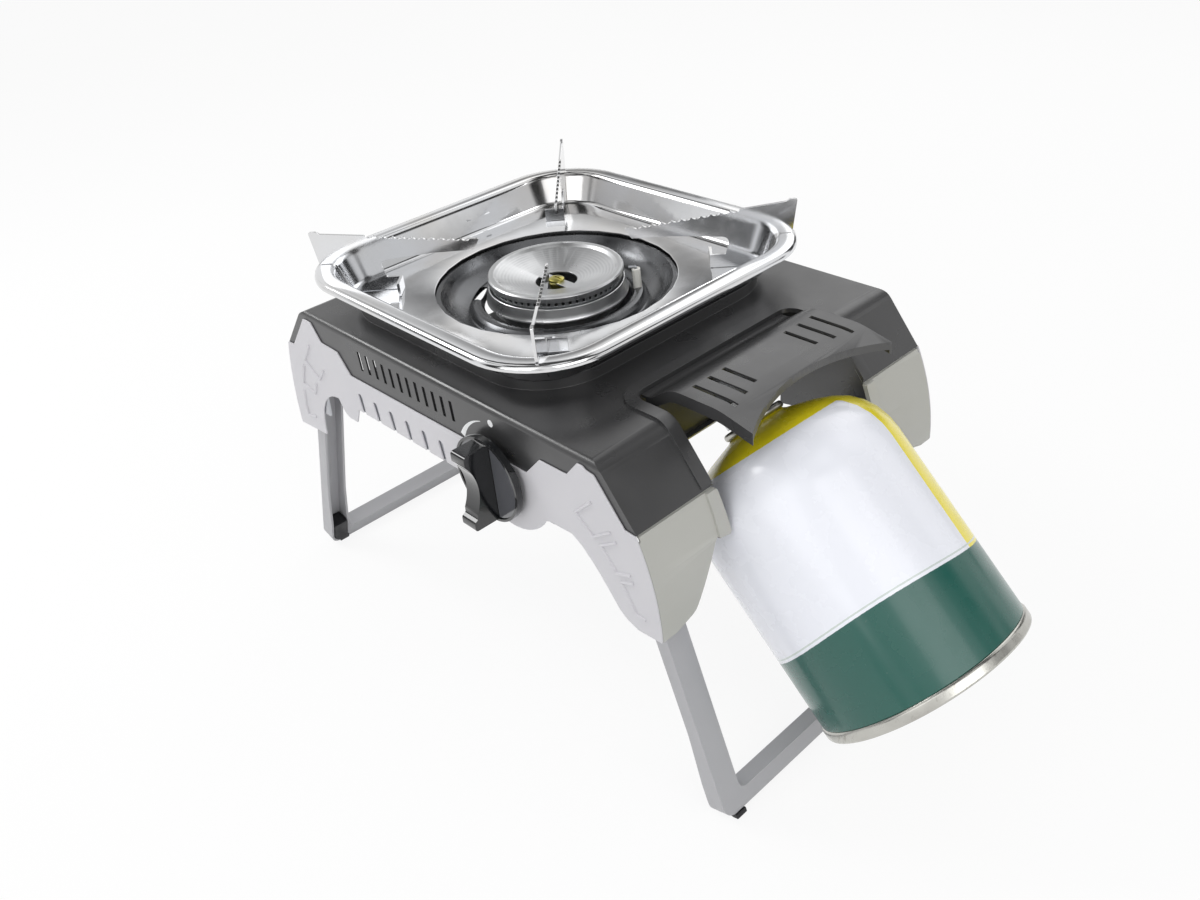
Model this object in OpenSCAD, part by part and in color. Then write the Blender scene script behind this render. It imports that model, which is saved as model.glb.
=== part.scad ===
// Tabletop gas stove on two folding leg frames: a painted sheet body carries a
// lift-out drip tray with four pan supports, a round burner, a gas tap with a push
// and turn knob, and a side connector that takes a screw-in gas cartridge.
// X runs along the body towards the cartridge, Y runs from the knob side to the back,
// Z is up. The burner axis is X = 0, Y = 0, and the table is Z = 0.

/* [Overall] */
// Height of the drip tray floor above the table
tray_floor_h = 200; // [185:1:220]
// Front-to-back depth of the painted body
body_d = 210; // [200:1:220]
// Thickness of the painted sheet
sheet = 1; // [0.8:0.1:1.2]

/* [Top cover] */
// Drop from the tray floor to the deck of the cover
deck_drop = 7; // [6:0.5:10]
// Reach of the flat deck to the left of the burner axis
deck_left = 98.5; // [95:0.5:104]
// Reach of the flat deck to the right of the burner axis
deck_right = 140.5; // [137:0.5:144]
// Horizontal run of the left end slope
left_run = 24; // [18:0.5:28]
// Horizontal run of the right end slope
right_run = 21.5; // [19:0.5:25]
// Height of both end slopes
slope_h = 27; // [24:0.5:30]
// Radius of the folds between deck and slopes
fold_r = 12; // [6:1:16]
// Radius of the long folds at the front and the back
edge_r = 3; // [2.5:0.5:5]
// Width across the flats of the raised tray seat
seat_w = 177; // [170:1:184]
// Corner radius of the raised tray seat
seat_r = 38; // [30:1:44]
// Radius of the burner opening in the cover
opening_r = 68; // [67:0.5:70]
// Width of the cartridge notch in the right end
notch_w = 114; // [110:1:118]
// Distance from the burner axis to the bottom of the notch
notch_x = 114; // [112:0.5:118]
// Width of the raised rib round the notch
rib_w = 7; // [5:0.5:9]
// Number of vent slots in each long skirt
vent_count = 12; // [8:1:14]
// Spacing of the vent slots
vent_pitch = 7.3; // [6:0.1:7.6]

/* [Panels and base] */
// Drop from the tray floor to the lower edge of the long panels
panel_drop = 55; // [54:0.5:60]
// Drop from the tray floor to the left panel feet
left_foot_drop = 93; // [90:0.5:97]
// Drop from the tray floor to the right panel feet
right_foot_drop = 87; // [84:0.5:91]
// Outward reach of the curved left end panel at its foot
left_foot_out = 10; // [8:0.5:13]
// Outward reach of the curved right end panels at their foot
right_foot_out = 12; // [9:0.5:14]
// Band of the cover that shows between each end slope and the long panels
slope_band = 4.7; // [3.5:0.1:6]
// Radius of the round lobe that the front panel has below the knob
lobe_r = 32.5; // [31:0.5:34]
// Reach of the base pan to the left of the burner axis
pan_left = 88; // [80:1:89]
// Reach of the base pan to the right of the burner axis
pan_right = 107; // [105:0.5:108]

/* [Cartridge guard] */
// Width of the guard over the cartridge neck
guard_w = 102; // [96:1:108]
// Height of the guard crown above the tray floor
guard_rise = 1.5; // [0:0.5:4]
// Distance from the burner axis to the guard tips
guard_tip_x = 180; // [175:0.5:184]
// Depth of the concave front edge of the guard
guard_bow = 13.5; // [8:0.5:15]

/* [Tray and pan supports] */
// Outer width of the square drip tray
tray_w = 210; // [204:1:216]
// Height of the tray rim above the tray floor
tray_h = 17.4; // [15:0.2:19]
// Outer corner radius of the tray
tray_r = 44; // [40:1:48]
// Width of the flat rim of the tray
lip_w = 10; // [8:0.5:12]
// Thickness of the stainless sheet of the tray
tray_sheet = 0.8; // [0.6:0.1:1]
// Radius of the hole in the tray floor
tray_hole_r = 66.5; // [65:0.5:67]
// Thickness of each pan support blade
blade_t = 1.5; // [1.2:0.1:2]
// Distance from the burner axis to the inner tip of a blade
blade_inner = 39; // [36:0.5:44]
// Distance from the burner axis to the outer end of a blade
blade_outer = 130.5; // [129:0.5:133]
// Height of the inner end of the blade's top edge above the tray floor
blade_low = 26; // [24:0.5:28]
// Height of the outer end of the blade's top edge above the tray floor
blade_high = 35; // [33:0.5:37]
// Number of scallops in the top edge of a blade
scallop_count = 11; // [8:1:12]

/* [Burner] */
// Radius of the burner cap
cap_r = 37.3; // [36:0.1:38.5]
// Height of the burner cap rim above the tray floor
cap_h = 6; // [5:0.5:8]
// Radius of the opening in the middle of the cap
cap_hole_r = 11.5; // [10:0.5:13]
// Number of flame ports
port_count = 60; // [40:2:64]
// Outer radius of the mixing tube
tube_r = 8.5; // [7.5:0.5:9]

/* [Gas tap and knob] */
// Distance of the knob axis to the right of the burner axis
knob_x = 68.5; // [66:0.5:72]
// Drop from the tray floor to the knob axis
knob_drop = 43; // [42:0.5:44]
// Radius of the knob disc
knob_r = 22.6; // [21.6:0.2:24]
// Outward reach of the knob grip from its disc
grip_reach = 14.5; // [12:0.5:17]
// Width of the knob grip
grip_w = 10; // [8:0.5:12]
// Travel of the knob when it is pushed
push_travel = 2.5; // [2:0.1:2.8]
// Radius of the tap spindle
spindle_r = 4; // [3.5:0.1:4.5]
// Width of the tap body
tap_w = 26; // [24:0.5:28]
// Radius of the piezo igniter barrel
piezo_r = 6; // [5:0.5:7]
// Outer radius of the gas pipe
pipe_r = 3; // [2.5:0.1:3.4]

/* [Legs] */
// Drop from the tray floor to the leg pivots
pivot_drop = 63; // [62.5:0.1:64]
// Distance of the left leg pivot to the left of the burner axis
left_pivot_x = 107; // [104:0.5:110]
// Distance of the right leg pivot to the right of the burner axis
right_pivot_x = 148.2; // [147.8:0.1:149]
// Outward lean of the left leg frame
left_splay = 19; // [17:0.5:21]
// Outward lean of the right leg frame
right_splay = 19.3; // [18:0.1:21]
// Clearance between the left leg frame and each long panel
leg_clear = 3; // [2.5:0.1:5]
// Further set-back of the right leg frame from each long panel
right_inset = 7.5; // [6:0.5:9]
// Width of the leg channel
leg_w = 13.5; // [12.5:0.5:14.5]
// Depth of the leg channel
leg_t = 8; // [7.5:0.1:8.4]
// Depth of a leg frame at its crossbar
foot_t = 10.5; // [9.5:0.1:10.6]
// Height of the crossbar
crossbar_h = 9; // [8:0.5:10]
// Wall thickness of the leg channel
leg_wall = 1.5; // [1.2:0.1:1.8]
// Radius of the leg pivot pins
pin_r = 3; // [2.5:0.1:3.5]

/* [Gas cartridge] */
// Radius of the cartridge
can_r = 55; // [54:0.5:56]
// Length of the cartridge from its neck ring to its base
can_l = 148; // [140:1:150]
// Tilt of the cartridge away from upright
can_tilt = 46; // [45:0.2:49]
// Distance from the burner axis to the neck ring
neck_x = 137; // [135:0.5:138]
// Drop from the tray floor to the neck ring
neck_drop = 37; // [36:0.5:39]
// Radius of the threaded boss of the cartridge
thread_r = 5.55; // [5.4:0.01:5.6]

/* [Hidden] */

fit = 0.05;          // radial clearance of every running fit
gap = 0.3;           // clearance between neighbours that must not touch
eps = 0.01;          // overlap that makes a cut run through
lip_rise = 1.4;      // height of the raised rib round the notch
lobe_shift = 6.5;    // reach of the lobe's middle to the right of the knob axis
lobe_lift = 5.5;     // height of the lobe's middle above the knob axis
$fn = 64;

body_y = body_d / 2;                        // outer face of the cover skirts
panel_y = body_y + sheet;                   // outer face of the long panels
edge_drop = deck_drop + slope_h;            // drop to the lower end of both slopes
skirt_drop = edge_drop + 7;                 // drop to the hidden lower edge of the skirts
left_end_x = -deck_left - left_run;
right_end_x = deck_right + right_run;
left_angle = atan2(slope_h, left_run);
right_angle = atan2(slope_h, right_run);
seat_drop = tray_sheet;                     // top of the tray seat, under the tray floor
pan_top = tray_floor_h - panel_drop + sheet;
knob_h = tray_floor_h - knob_drop;
pivot_h = tray_floor_h - pivot_drop;
left_span = body_d - 2 * leg_clear;         // outside width of the left leg frame
right_span = left_span - 2 * right_inset;   // outside width of the right leg frame

// ---------------------------------------------------------------- helpers

// A point along the unit circle.
function dir(a) = [cos(a), sin(a)];

// The corner p between a and b, rounded to radius r in n steps.
function corner(a, p, b, r, n) =
    r <= 0 ? [p] :
    let (u = (a - p) / norm(a - p), v = (b - p) / norm(b - p),
        half = acos(u * v) / 2,
        c = p + (u + v) / norm(u + v) * r / sin(half),
        s = p + u * r / tan(half), e = p + v * r / tan(half),
        a0 = atan2(s[1] - c[1], s[0] - c[0]), a1 = atan2(e[1] - c[1], e[0] - c[0]),
        turn = (a1 - a0 + 540) % 360 - 180)
    [for (i = [0:n]) c + r * dir(a0 + turn * i / n)];

// A closed outline with every corner rounded: points are [x, y, radius].
function rounded(points, n = 6) = let (m = len(points))
    [for (i = [0:m - 1]) let (a = points[(i + m - 1) % m], p = points[i], b = points[(i + 1) % m])
        each corner([a[0], a[1]], [p[0], p[1]], [b[0], b[1]], p[2], n)];

// An open path with its inner corners rounded: points are [x, y, radius].
function bent(points, n = 5) = let (m = len(points))
    [for (i = [0:m - 1]) let (p = points[i])
        each (i == 0 || i == m - 1 ? [[p[0], p[1]]]
            : corner([points[i - 1][0], points[i - 1][1]], [p[0], p[1]],
                [points[i + 1][0], points[i + 1][1]], p[2], n))];

// Points on an ellipse arc.
function arc(c, rx, ry, a0, a1, n) =
    [for (i = [0:n]) let (a = a0 + (a1 - a0) * i / n) [c[0] + rx * cos(a), c[1] + ry * sin(a)]];

// A smooth path through points, with k steps between neighbours.
function smooth(p, k) = let (m = len(p) - 1)
    [for (i = [0:m - 1]) for (j = [0:(i == m - 1 ? k : k - 1)])
        let (t = j / k, a = p[max(i - 1, 0)], b = p[i], c = p[i + 1], d = p[min(i + 2, m)])
        0.5 * (2 * b + (c - a) * t + (2 * a - 5 * b + 4 * c - d) * t * t
            + (3 * b - a - 3 * c + d) * t * t * t)];

// A round tube swept along a path; up is any direction that the path never takes.
module swept(path, r, sides, up) {
    m = len(path);
    rings = [for (i = [0:m - 1])
        let (t = path[min(i + 1, m - 1)] - path[max(i - 1, 0)], f = t / norm(t),
            s = cross(f, up) / norm(cross(f, up)), w = cross(s, f))
        for (j = [0:sides - 1]) path[i] + r * (cos(360 * j / sides) * s + sin(360 * j / sides) * w)];
    walls = [for (i = [0:m - 2]) for (j = [0:sides - 1]) let (k = (j + 1) % sides)
        [i * sides + j, i * sides + k, (i + 1) * sides + k, (i + 1) * sides + j]];
    ends = [[for (j = [sides - 1:-1:0]) j], [for (j = [0:sides - 1]) (m - 1) * sides + j]];
    polyhedron(rings, concat(walls, ends));
}

// A plate standing in the XZ plane between y0 and y1, its outline given as [x, z].
module upright(y0, y1) {
    translate([0, y1, 0]) rotate([90, 0, 0]) linear_extrude(y1 - y0) children();
}

// A cylinder along Y from y0 to y1.
module rod_y(x, z, y0, y1, r) {
    translate([x, y1, z]) rotate([90, 0, 0]) cylinder(h = y1 - y0, r = r);
}

// A square with rounded corners, centred.
module soft_square(w, r) {
    polygon(rounded([[-w / 2, -w / 2, r], [w / 2, -w / 2, r], [w / 2, w / 2, r], [-w / 2, w / 2, r]], 10));
}

// A flat ring between two heights.
module ring(r_out, r_in, z0, z1) {
    translate([0, 0, z0]) difference() {
        cylinder(h = z1 - z0, r = r_out);
        translate([0, 0, -eps]) cylinder(h = z1 - z0 + 2 * eps, r = r_in);
    }
}

// A path read from its last point to its first.
function reversed(p) = [for (i = [len(p) - 1:-1:0]) p[i]];

// Moves its children to the tray floor level above the burner axis.
module at_tray() {
    translate([0, 0, tray_floor_h]) children();
}

// ---------------------------------------------------------------- painted body

// The outer outline of the cover, seen from the front.
function cover_outline() = rounded([
    [left_end_x, -edge_drop, 0], [-deck_left, -deck_drop, fold_r],
    [deck_right, -deck_drop, fold_r], [right_end_x, -edge_drop, 0],
    [right_end_x - right_run / 3, -skirt_drop, 0], [left_end_x + left_run / 3, -skirt_drop, 0]]);

// The space inside the cover: its deck and slopes lie one sheet further in.
function cover_hollow() =
    let (l = -deck_left + sheet * tan(left_angle / 2), r = deck_right - sheet * tan(right_angle / 2),
        top = -deck_drop - sheet, run = 3 * slope_h)
    rounded([[l - run * cos(left_angle), top - run * sin(left_angle), 0], [l, top, fold_r - sheet],
        [r, top, fold_r - sheet], [r + run * cos(right_angle), top - run * sin(right_angle), 0]]);

// A long block with two rounded upper edges, seen from the end.
module ridge_block(half, top, r) {
    rotate([90, 0, 90]) translate([0, 0, -200]) linear_extrude(500)
        polygon(rounded([[-half, -150, 0], [half, -150, 0], [half, top, r], [-half, top, r]]));
}

// The notch in plan view, grown by a margin.
module notch_outline(margin) {
    x0 = notch_x - margin;
    y0 = notch_w / 2 + margin;
    polygon(rounded([[x0, -y0, 8 + margin], [right_end_x + 10, -y0, 0], [right_end_x + 10, y0, 0],
        [x0, y0, 8 + margin]]));
}

// One row of leaning vent slots, cut through both long skirts.
module vent_slots() {
    for (i = [0:vent_count - 1])
        translate([-42.5 + i * vent_pitch, 0, -deck_drop - 13.5]) rotate([0, -4, 0])
            cube([2.4, body_d + 2 * eps, 11.2], center = true);
}

module top_cover() {
    color("#454545") at_tray() difference() {
        union() {
            difference() {
                union() {
                    intersection() {
                        upright(-body_y, body_y) polygon(cover_outline());
                        ridge_block(body_y, -deck_drop, edge_r);
                    }
                    intersection() {
                        translate([0, 0, lip_rise]) upright(-body_y, body_y) polygon(cover_outline());
                        translate([0, 0, -skirt_drop]) linear_extrude(skirt_drop) notch_outline(rib_w);
                    }
                }
                intersection() {
                    upright(-body_y + sheet, body_y - sheet) polygon(cover_hollow());
                    ridge_block(body_y - sheet, -deck_drop - sheet, edge_r - sheet);
                }
            }
            translate([0, 0, -deck_drop - sheet]) linear_extrude(deck_drop + sheet - seat_drop)
                soft_square(seat_w, seat_r);
        }
        translate([0, 0, -2 * deck_drop]) linear_extrude(2 * deck_drop - seat_drop - sheet)
            soft_square(seat_w - 2 * sheet, seat_r - sheet);
        translate([0, 0, -2 * deck_drop]) cylinder(h = 2 * deck_drop, r = opening_r);
        translate([0, 0, -skirt_drop - 1]) linear_extrude(skirt_drop) notch_outline(0);
        vent_slots();
        rod_y(knob_x, -knob_drop, -body_y - 1, -body_y + 2, spindle_r + 4);
    }
}

// The outer line of a curved end panel, moved inwards by a margin: from the end of the slope
// down to its foot, where it stands upright.
function end_line(x0, out, foot_drop, margin) =
    let (h = foot_drop - edge_drop, r = (h * h + out * out) / (2 * out))
    arc([x0 + out - r, -foot_drop], r - margin, r - margin, asin(h / r), 0, 12);

// Distance from the burner axis to a line that runs inside an end slope, at a drop.
function under_slope(deck, angle, depth, drop) =
    deck + (drop - deck_drop) / tan(angle) - depth / sin(angle);

// The side edges of a long panel, upwards on the right and downwards on the left.
function panel_right() = reversed(end_line(right_end_x, right_foot_out, right_foot_drop, 0));
function panel_left() = [for (p = end_line(-left_end_x, left_foot_out, left_foot_drop, 0)) [-p[0], p[1]]];

// The upper edge of a long panel, from right to left: it keeps a band of the cover in view.
function panel_top() = [
    [under_slope(deck_right, right_angle, slope_band, edge_drop - 0.4), -edge_drop + 0.4],
    [under_slope(deck_right, right_angle, slope_band, deck_drop + 5.8), -deck_drop - 5.8],
    [deck_right - 6.2, -deck_drop - 5.1], [deck_right - 8.4, -deck_drop - 3.8],
    [deck_right - 11.6, -deck_drop - 4], [knob_x + 54.6, -deck_drop - 10.7],
    [knob_x + 52.6, -deck_drop - 13.1], [knob_x + 48.8, -deck_drop - 13.3],
    [knob_x + 34.4, -deck_drop - 13.5], [knob_x + 23.4, -deck_drop - 25.2],
    [-55.6, -deck_drop - 26.5], [-65.1, -deck_drop - 15], [-81.2, -deck_drop - 14.5],
    [-deck_left + 10, -deck_drop - 4.4], [-deck_left + 5.7, -deck_drop - 4.1],
    [-deck_left + 2.3, -deck_drop - 4.4],
    [-under_slope(deck_left, left_angle, slope_band, deck_drop + 6.8), -deck_drop - 6.8],
    [-under_slope(deck_left, left_angle, slope_band, edge_drop - 0.7), -edge_drop + 0.7]];

// The lower edge of a long panel left of the knob, from left to right.
function panel_bottom_left() = concat(
    arc([-76, -left_foot_drop + 2.5], 27, left_foot_drop - 2.5 - panel_drop - 0.5, 180, 90, 10),
    [[-72, -panel_drop - 8], [-68, -panel_drop - 10], [-60, -panel_drop - 10], [-55, -panel_drop]]);

// The lower edge of a long panel right of the knob, from left to right.
function panel_bottom_right() = [
    [knob_x + 36.8, -panel_drop + 1.3], [knob_x + 42.7, -panel_drop + 1.4],
    [knob_x + 51.8, -panel_drop + 1.8], [knob_x + 57.7, -panel_drop - 1.7],
    [knob_x + 63.4, -panel_drop - 7.1], [knob_x + 67.5, -panel_drop - 11.5],
    [knob_x + 73.5, -panel_drop - 19], [right_end_x - 14, -right_foot_drop + 5],
    [right_end_x - 9.5, -right_foot_drop + 1.5], [right_end_x - 2.5, -right_foot_drop - 1]];

// The round lobe of the front panel below the knob.
function lobe() = let (middle = [knob_x + lobe_shift, lobe_lift - knob_drop],
        rise = panel_drop + middle[1], reach = sqrt(lobe_r * lobe_r - rise * rise),
        a = atan2(-rise, -reach))
    arc(middle, lobe_r, lobe_r, 360 + a, 180 - a, 16);

// Leaning slots that open into the lower edge of a long panel.
module panel_slots(y0, y1) {
    for (i = [0:5])
        upright(y0, y1) translate([-50 + 14.7 * i, -panel_drop])
            polygon([[0.1, -1], [2.5, -1], [1.9, 10.6], [0.9, 11.8], [-0.8, 12], [-1.9, 11]]);
}

module front_panel() {
    color("#C8C6CE") at_tray() difference() {
        upright(-panel_y, -body_y)
            polygon(concat(panel_bottom_left(), lobe(), panel_bottom_right(), panel_right(), panel_top(),
                panel_left()));
        panel_slots(-panel_y - 1, -body_y + 1);
        rod_y(knob_x, -knob_drop, -panel_y - 1, -body_y + 1, spindle_r + 4);
    }
}

module back_panel() {
    color("#C8C6CE") at_tray() difference() {
        upright(body_y, panel_y) polygon(concat(panel_bottom_left(), [[knob_x + 34, -panel_drop]],
            panel_bottom_right(), panel_right(), panel_top(), panel_left()));
        panel_slots(body_y - 1, panel_y + 1);
    }
}

// A flange that lies under the lower end of the right slope, from y0 to y1.
module slope_flange(y0, y1) {
    translate([right_end_x, y0, -edge_drop]) rotate([0, right_angle, 0])
        translate([-8, 0, -2 * sheet - fit]) cube([9.2, y1 - y0, sheet]);
}

// A curved end sheet over the whole depth of the body, thickened outwards.
module end_sheet(x0, out, foot_drop, raise) {
    upright(-body_y, body_y) polygon(concat(end_line(x0, out, foot_drop, -raise),
        reversed(end_line(x0, out, foot_drop, sheet))));
}

// What lies inside a side outline, given as [y, drop, radius].
module inside_side_outline(points) {
    rotate([90, 0, 90]) linear_extrude(2 * right_end_x)
        polygon(rounded([for (p = points) [p[0], -p[1], p[2]]], 4));
}

// One half of the right end: a curved plate beside the cartridge notch, whose rib runs on
// down its inner edge.
module right_end_half() {
    inner = notch_w / 2 - 0.5;
    side = body_y - sheet;
    foot = right_foot_drop;
    slope_flange(notch_w / 2 + 1, side - gap);
    intersection() {
        union() {
            end_sheet(right_end_x, right_foot_out, foot, 0);
            intersection() {
                end_sheet(right_end_x, right_foot_out, foot, lip_rise);
                translate([0, inner - 2, -edge_drop - 30]) cube([2 * right_end_x, rib_w + 1.6, 30]);
            }
        }
        inside_side_outline([
            [inner, edge_drop + 1, 1], [inner - 1, edge_drop + 22.8, 1.5], [inner + 7, edge_drop + 21.4, 0],
            [inner + 9, edge_drop + 23, 6], [inner + 27, foot - 4, 8], [inner + 40, foot, 2],
            [body_y, foot, 0], [body_y, edge_drop + 3.5, 0], [side, edge_drop + 3, 0],
            [side, edge_drop + 1, 0]]);
    }
}

module right_end_panel_front() {
    color("#B2B2AC") at_tray() mirror([0, 1, 0]) right_end_half();
}

module right_end_panel_back() {
    color("#B2B2AC") at_tray() right_end_half();
}

// The left end: a full-width curved plate with an arch between its two feet.
module left_end_panel() {
    side = body_y - sheet;
    foot = left_foot_drop;
    arch = edge_drop + 21.5;
    color("#B2B2AC") at_tray() mirror([1, 0, 0]) {
        intersection() {
            end_sheet(-left_end_x, left_foot_out, foot, 0);
            inside_side_outline([
                [-side, edge_drop + 1, 0], [-side, edge_drop + 3, 0], [-body_y, edge_drop + 3.5, 0],
                [-body_y, foot, 2], [-side + 14, foot, 6], [-side + 30, arch, 20], [side - 30, arch, 20],
                [side - 14, foot, 6], [body_y, foot, 2], [body_y, edge_drop + 3.5, 0],
                [side, edge_drop + 3, 0], [side, edge_drop + 1, 0]]);
        }
        translate([-left_end_x, gap - side, -edge_drop]) rotate([0, left_angle, 0])
            translate([-8, 0, -2 * sheet - fit]) cube([9.2, 2 * (side - gap), sheet]);
    }
}

// Places its children at the four base screws.
module each_base_screw() {
    for (x = [-pan_left + 8, pan_right - 8]) for (y = [-body_y + 6, body_y - 6])
        translate([x, y, pan_top]) children();
}

module base_pan() {
    color("#8F9194") difference() {
        union() {
            translate([-pan_left, -body_y, pan_top - sheet]) cube([pan_left + pan_right, body_d, sheet]);
            for (y = [-body_y, body_y - sheet])
                translate([-pan_left, y, pan_top - sheet])
                    cube([pan_left + pan_right, sheet, panel_drop - skirt_drop - 2]);
        }
        for (i = [0:11]) rotate([0, 0, 30 * i + 15]) translate([38, 0, pan_top - 2 * sheet])
            cylinder(h = 3 * sheet, r = 3.5);
        each_base_screw() translate([0, 0, -2 * sheet]) cylinder(h = 3 * sheet, r = 1.8);
        rod_y(knob_x, knob_h, -body_y - 1, -body_y + 2, spindle_r + 4);
    }
}

module base_screws() {
    color("#D5D5D0") each_base_screw() {
        translate([0, 0, -sheet - 1]) cylinder(h = 1, r = 3.2);
        translate([0, 0, -sheet - eps]) cylinder(h = 7, r = 1.75);
    }
}

// ---------------------------------------------------------------- cartridge guard and shield

// The upper line of the guard, from its root under the deck to its tips.
function guard_path() = let (root = -deck_drop - sheet) bent([
    [notch_x - 10, root, 0], [notch_x + 6, root, 8], [notch_x + 19, guard_rise, 16],
    [notch_x + 47, guard_rise, 40], [guard_tip_x, guard_rise - 4.5, 0]]);

// A band under the guard line, from depth d0 to depth d1.
module guard_band(d0, d1, y0, y1) {
    path = guard_path();
    upright(y0, y1) polygon(concat([for (p = path) p - [0, d0]],
        [for (i = [len(path) - 1:-1:0]) path[i] - [0, d1]]));
}

module cartridge_guard() {
    half = guard_w / 2;
    bow_r = (half * half + guard_bow * guard_bow) / (2 * guard_bow);
    bow_x = guard_tip_x - guard_bow + bow_r;
    color("#454545") at_tray() difference() {
        union() {
            guard_band(0, sheet, -half, half);
            difference() {
                union() {
                    guard_band(0, 6, -half, -half + sheet);
                    guard_band(0, 6, half - sheet, half);
                }
                translate([notch_x - 11, -half - 1, -40]) cube([14, guard_w + 2, 60]);
            }
            intersection() {
                guard_band(0, 4, -half, half);
                translate([bow_x, 0, -40]) cylinder(h = 80, r = bow_r + sheet, $fn = 180);
            }
        }
        translate([bow_x, 0, -40]) cylinder(h = 80, r = bow_r, $fn = 180);
        for (s = [-1, 1]) for (i = [0:2])
            translate([notch_x + 25 + (19 + 3 * i) / 2, s * (22.2 + 10 * i), guard_rise])
                cube([19 + 3 * i, 2.6, 8], center = true);
    }
}

// A side wall of the cartridge bay, from y0 to y1: it ends just inside the cover and the end panel.
module bay_wall(y0, y1) {
    roof = deck_drop + sheet + 2;
    depth = 3.4;
    intersection() {
        upright(y0, y1) polygon([
            [shield_x, -roof], [under_slope(deck_right, right_angle, depth, roof), -roof],
            [under_slope(deck_right, right_angle, depth, panel_drop + 2), -panel_drop - 2],
            [pan_right + 0.5, -panel_drop - 13], [pan_right + 0.5, sheet - panel_drop],
            [shield_x, sheet - panel_drop]]);
        upright(y0 - 1, y1 + 1) polygon(concat(
            end_line(right_end_x, right_foot_out, right_foot_drop, sheet + gap),
            [[shield_x - 1, -right_foot_drop], [shield_x - 1, 0], [right_end_x - sheet - gap, 0]]));
    }
}

// The shield between burner and cartridge, with a side wall on both sides of the cartridge.
module heat_shield() {
    top = -deck_drop - sheet - 4;
    color("#7A7C80") at_tray() difference() {
        union() {
            translate([shield_x, -bay_y, sheet - panel_drop])
                cube([sheet, 2 * bay_y, top + panel_drop - sheet]);
            translate([shield_x - 10, -bay_y + 1, sheet - panel_drop])
                cube([10 + sheet, 2 * bay_y - 2, sheet]);
            bay_wall(-bay_y, -bay_y + sheet);
            bay_wall(bay_y - sheet, bay_y);
        }
        translate([shield_x - 3, 0, stub_h]) rotate([0, 90, 0]) cylinder(h = 10, r = pipe_r + 1);
    }
}

// ---------------------------------------------------------------- tray and pan supports

// A rounded-square sheet body between two heights, narrower at the bottom.
module tray_wedge(w_top, r_top, z_top, w_low, r_low, z_low) {
    hull() {
        translate([0, 0, z_top - eps]) linear_extrude(eps) soft_square(w_top, r_top);
        translate([0, 0, z_low]) linear_extrude(eps) soft_square(w_low, r_low);
    }
}

module drip_tray() {
    inner_w = tray_w - 2 * lip_w;
    inner_r = tray_r - lip_w;
    floor_w = inner_w - 14;
    floor_r = inner_r - 7;
    color("#D9DADC") at_tray() difference() {
        union() {
            translate([0, 0, tray_h - tray_sheet]) linear_extrude(tray_sheet) soft_square(tray_w, tray_r);
            translate([0, 0, tray_h - 3.5]) linear_extrude(3.5) difference() {
                soft_square(tray_w, tray_r);
                soft_square(tray_w - 2 * tray_sheet, tray_r - tray_sheet);
            }
            tray_wedge(inner_w + 2 * tray_sheet, inner_r + tray_sheet, tray_h,
                floor_w + 2 * tray_sheet, floor_r + tray_sheet, -tray_sheet);
        }
        tray_wedge(inner_w, inner_r, tray_h + eps, floor_w, floor_r, 0);
        translate([0, 0, -2]) cylinder(h = 4, r = tray_hole_r, $fn = 128);
    }
}

// Height of the blade's top edge at a distance from the burner axis.
function blade_top(r) = blade_low + (blade_high - blade_low) * (r - blade_inner) / (blade_outer - 3 - blade_inner);

// The side outline of a pan support blade as [distance from the axis, height].
module blade_outline() {
    lip_inner = (tray_w / 2 - lip_w) * sqrt(2) - (tray_r - lip_w) * (sqrt(2) - 1);
    floor_outer = (tray_w / 2 - lip_w - 7) * sqrt(2) - (tray_r - lip_w - 7) * (sqrt(2) - 1);
    difference() {
        polygon(rounded([
            [blade_inner, blade_top(blade_inner), 0.5], [blade_inner + 3.5, blade_top(blade_inner) - 6, 2],
            [64, 19.9, 0], [95.5, 17.2, 3.5], [92.5, 7.6, 1.2], [84, 7.6, 0], [84, gap, 0],
            [floor_outer - 1.5, gap, 1], [lip_inner - 2.5, tray_h - 3, 0], [lip_inner - 1, tray_h + gap, 0],
            [blade_outer - 2.5, tray_h + gap, 1], [blade_outer, blade_high + 1.2, 1.2],
            [blade_outer - 4, blade_high + 1, 1], [blade_outer - 6, blade_top(blade_outer - 6), 0]], 4));
        for (i = [0:scallop_count - 1]) let (r = blade_inner + 7 + 5.2 * i)
            translate([r, blade_top(r) + 1.6]) circle(r = 3, $fn = 24);
    }
}

// A blade with its foot tab, standing on the +X side of the burner axis.
module blade() {
    at_tray() {
        translate([0, blade_t / 2, 0]) rotate([90, 0, 0]) linear_extrude(blade_t) blade_outline();
        translate([84, blade_t / 2 - eps, gap]) cube([blade_t, 10, 7.3]);
    }
}

module pan_support_1() { color("#D0D1D4") rotate([0, 0, 45]) blade(); }
module pan_support_2() { color("#D0D1D4") rotate([0, 0, 135]) blade(); }
module pan_support_3() { color("#D0D1D4") rotate([0, 0, 225]) blade(); }
module pan_support_4() { color("#D0D1D4") rotate([0, 0, 315]) blade(); }

// ---------------------------------------------------------------- burner

electrode_angle = 47;                       // place of the electrode round the burner
electrode_r = 44;                           // distance of the electrode from the burner axis
ceramic_r = 2.4;                            // radius of the electrode's ceramic

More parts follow.
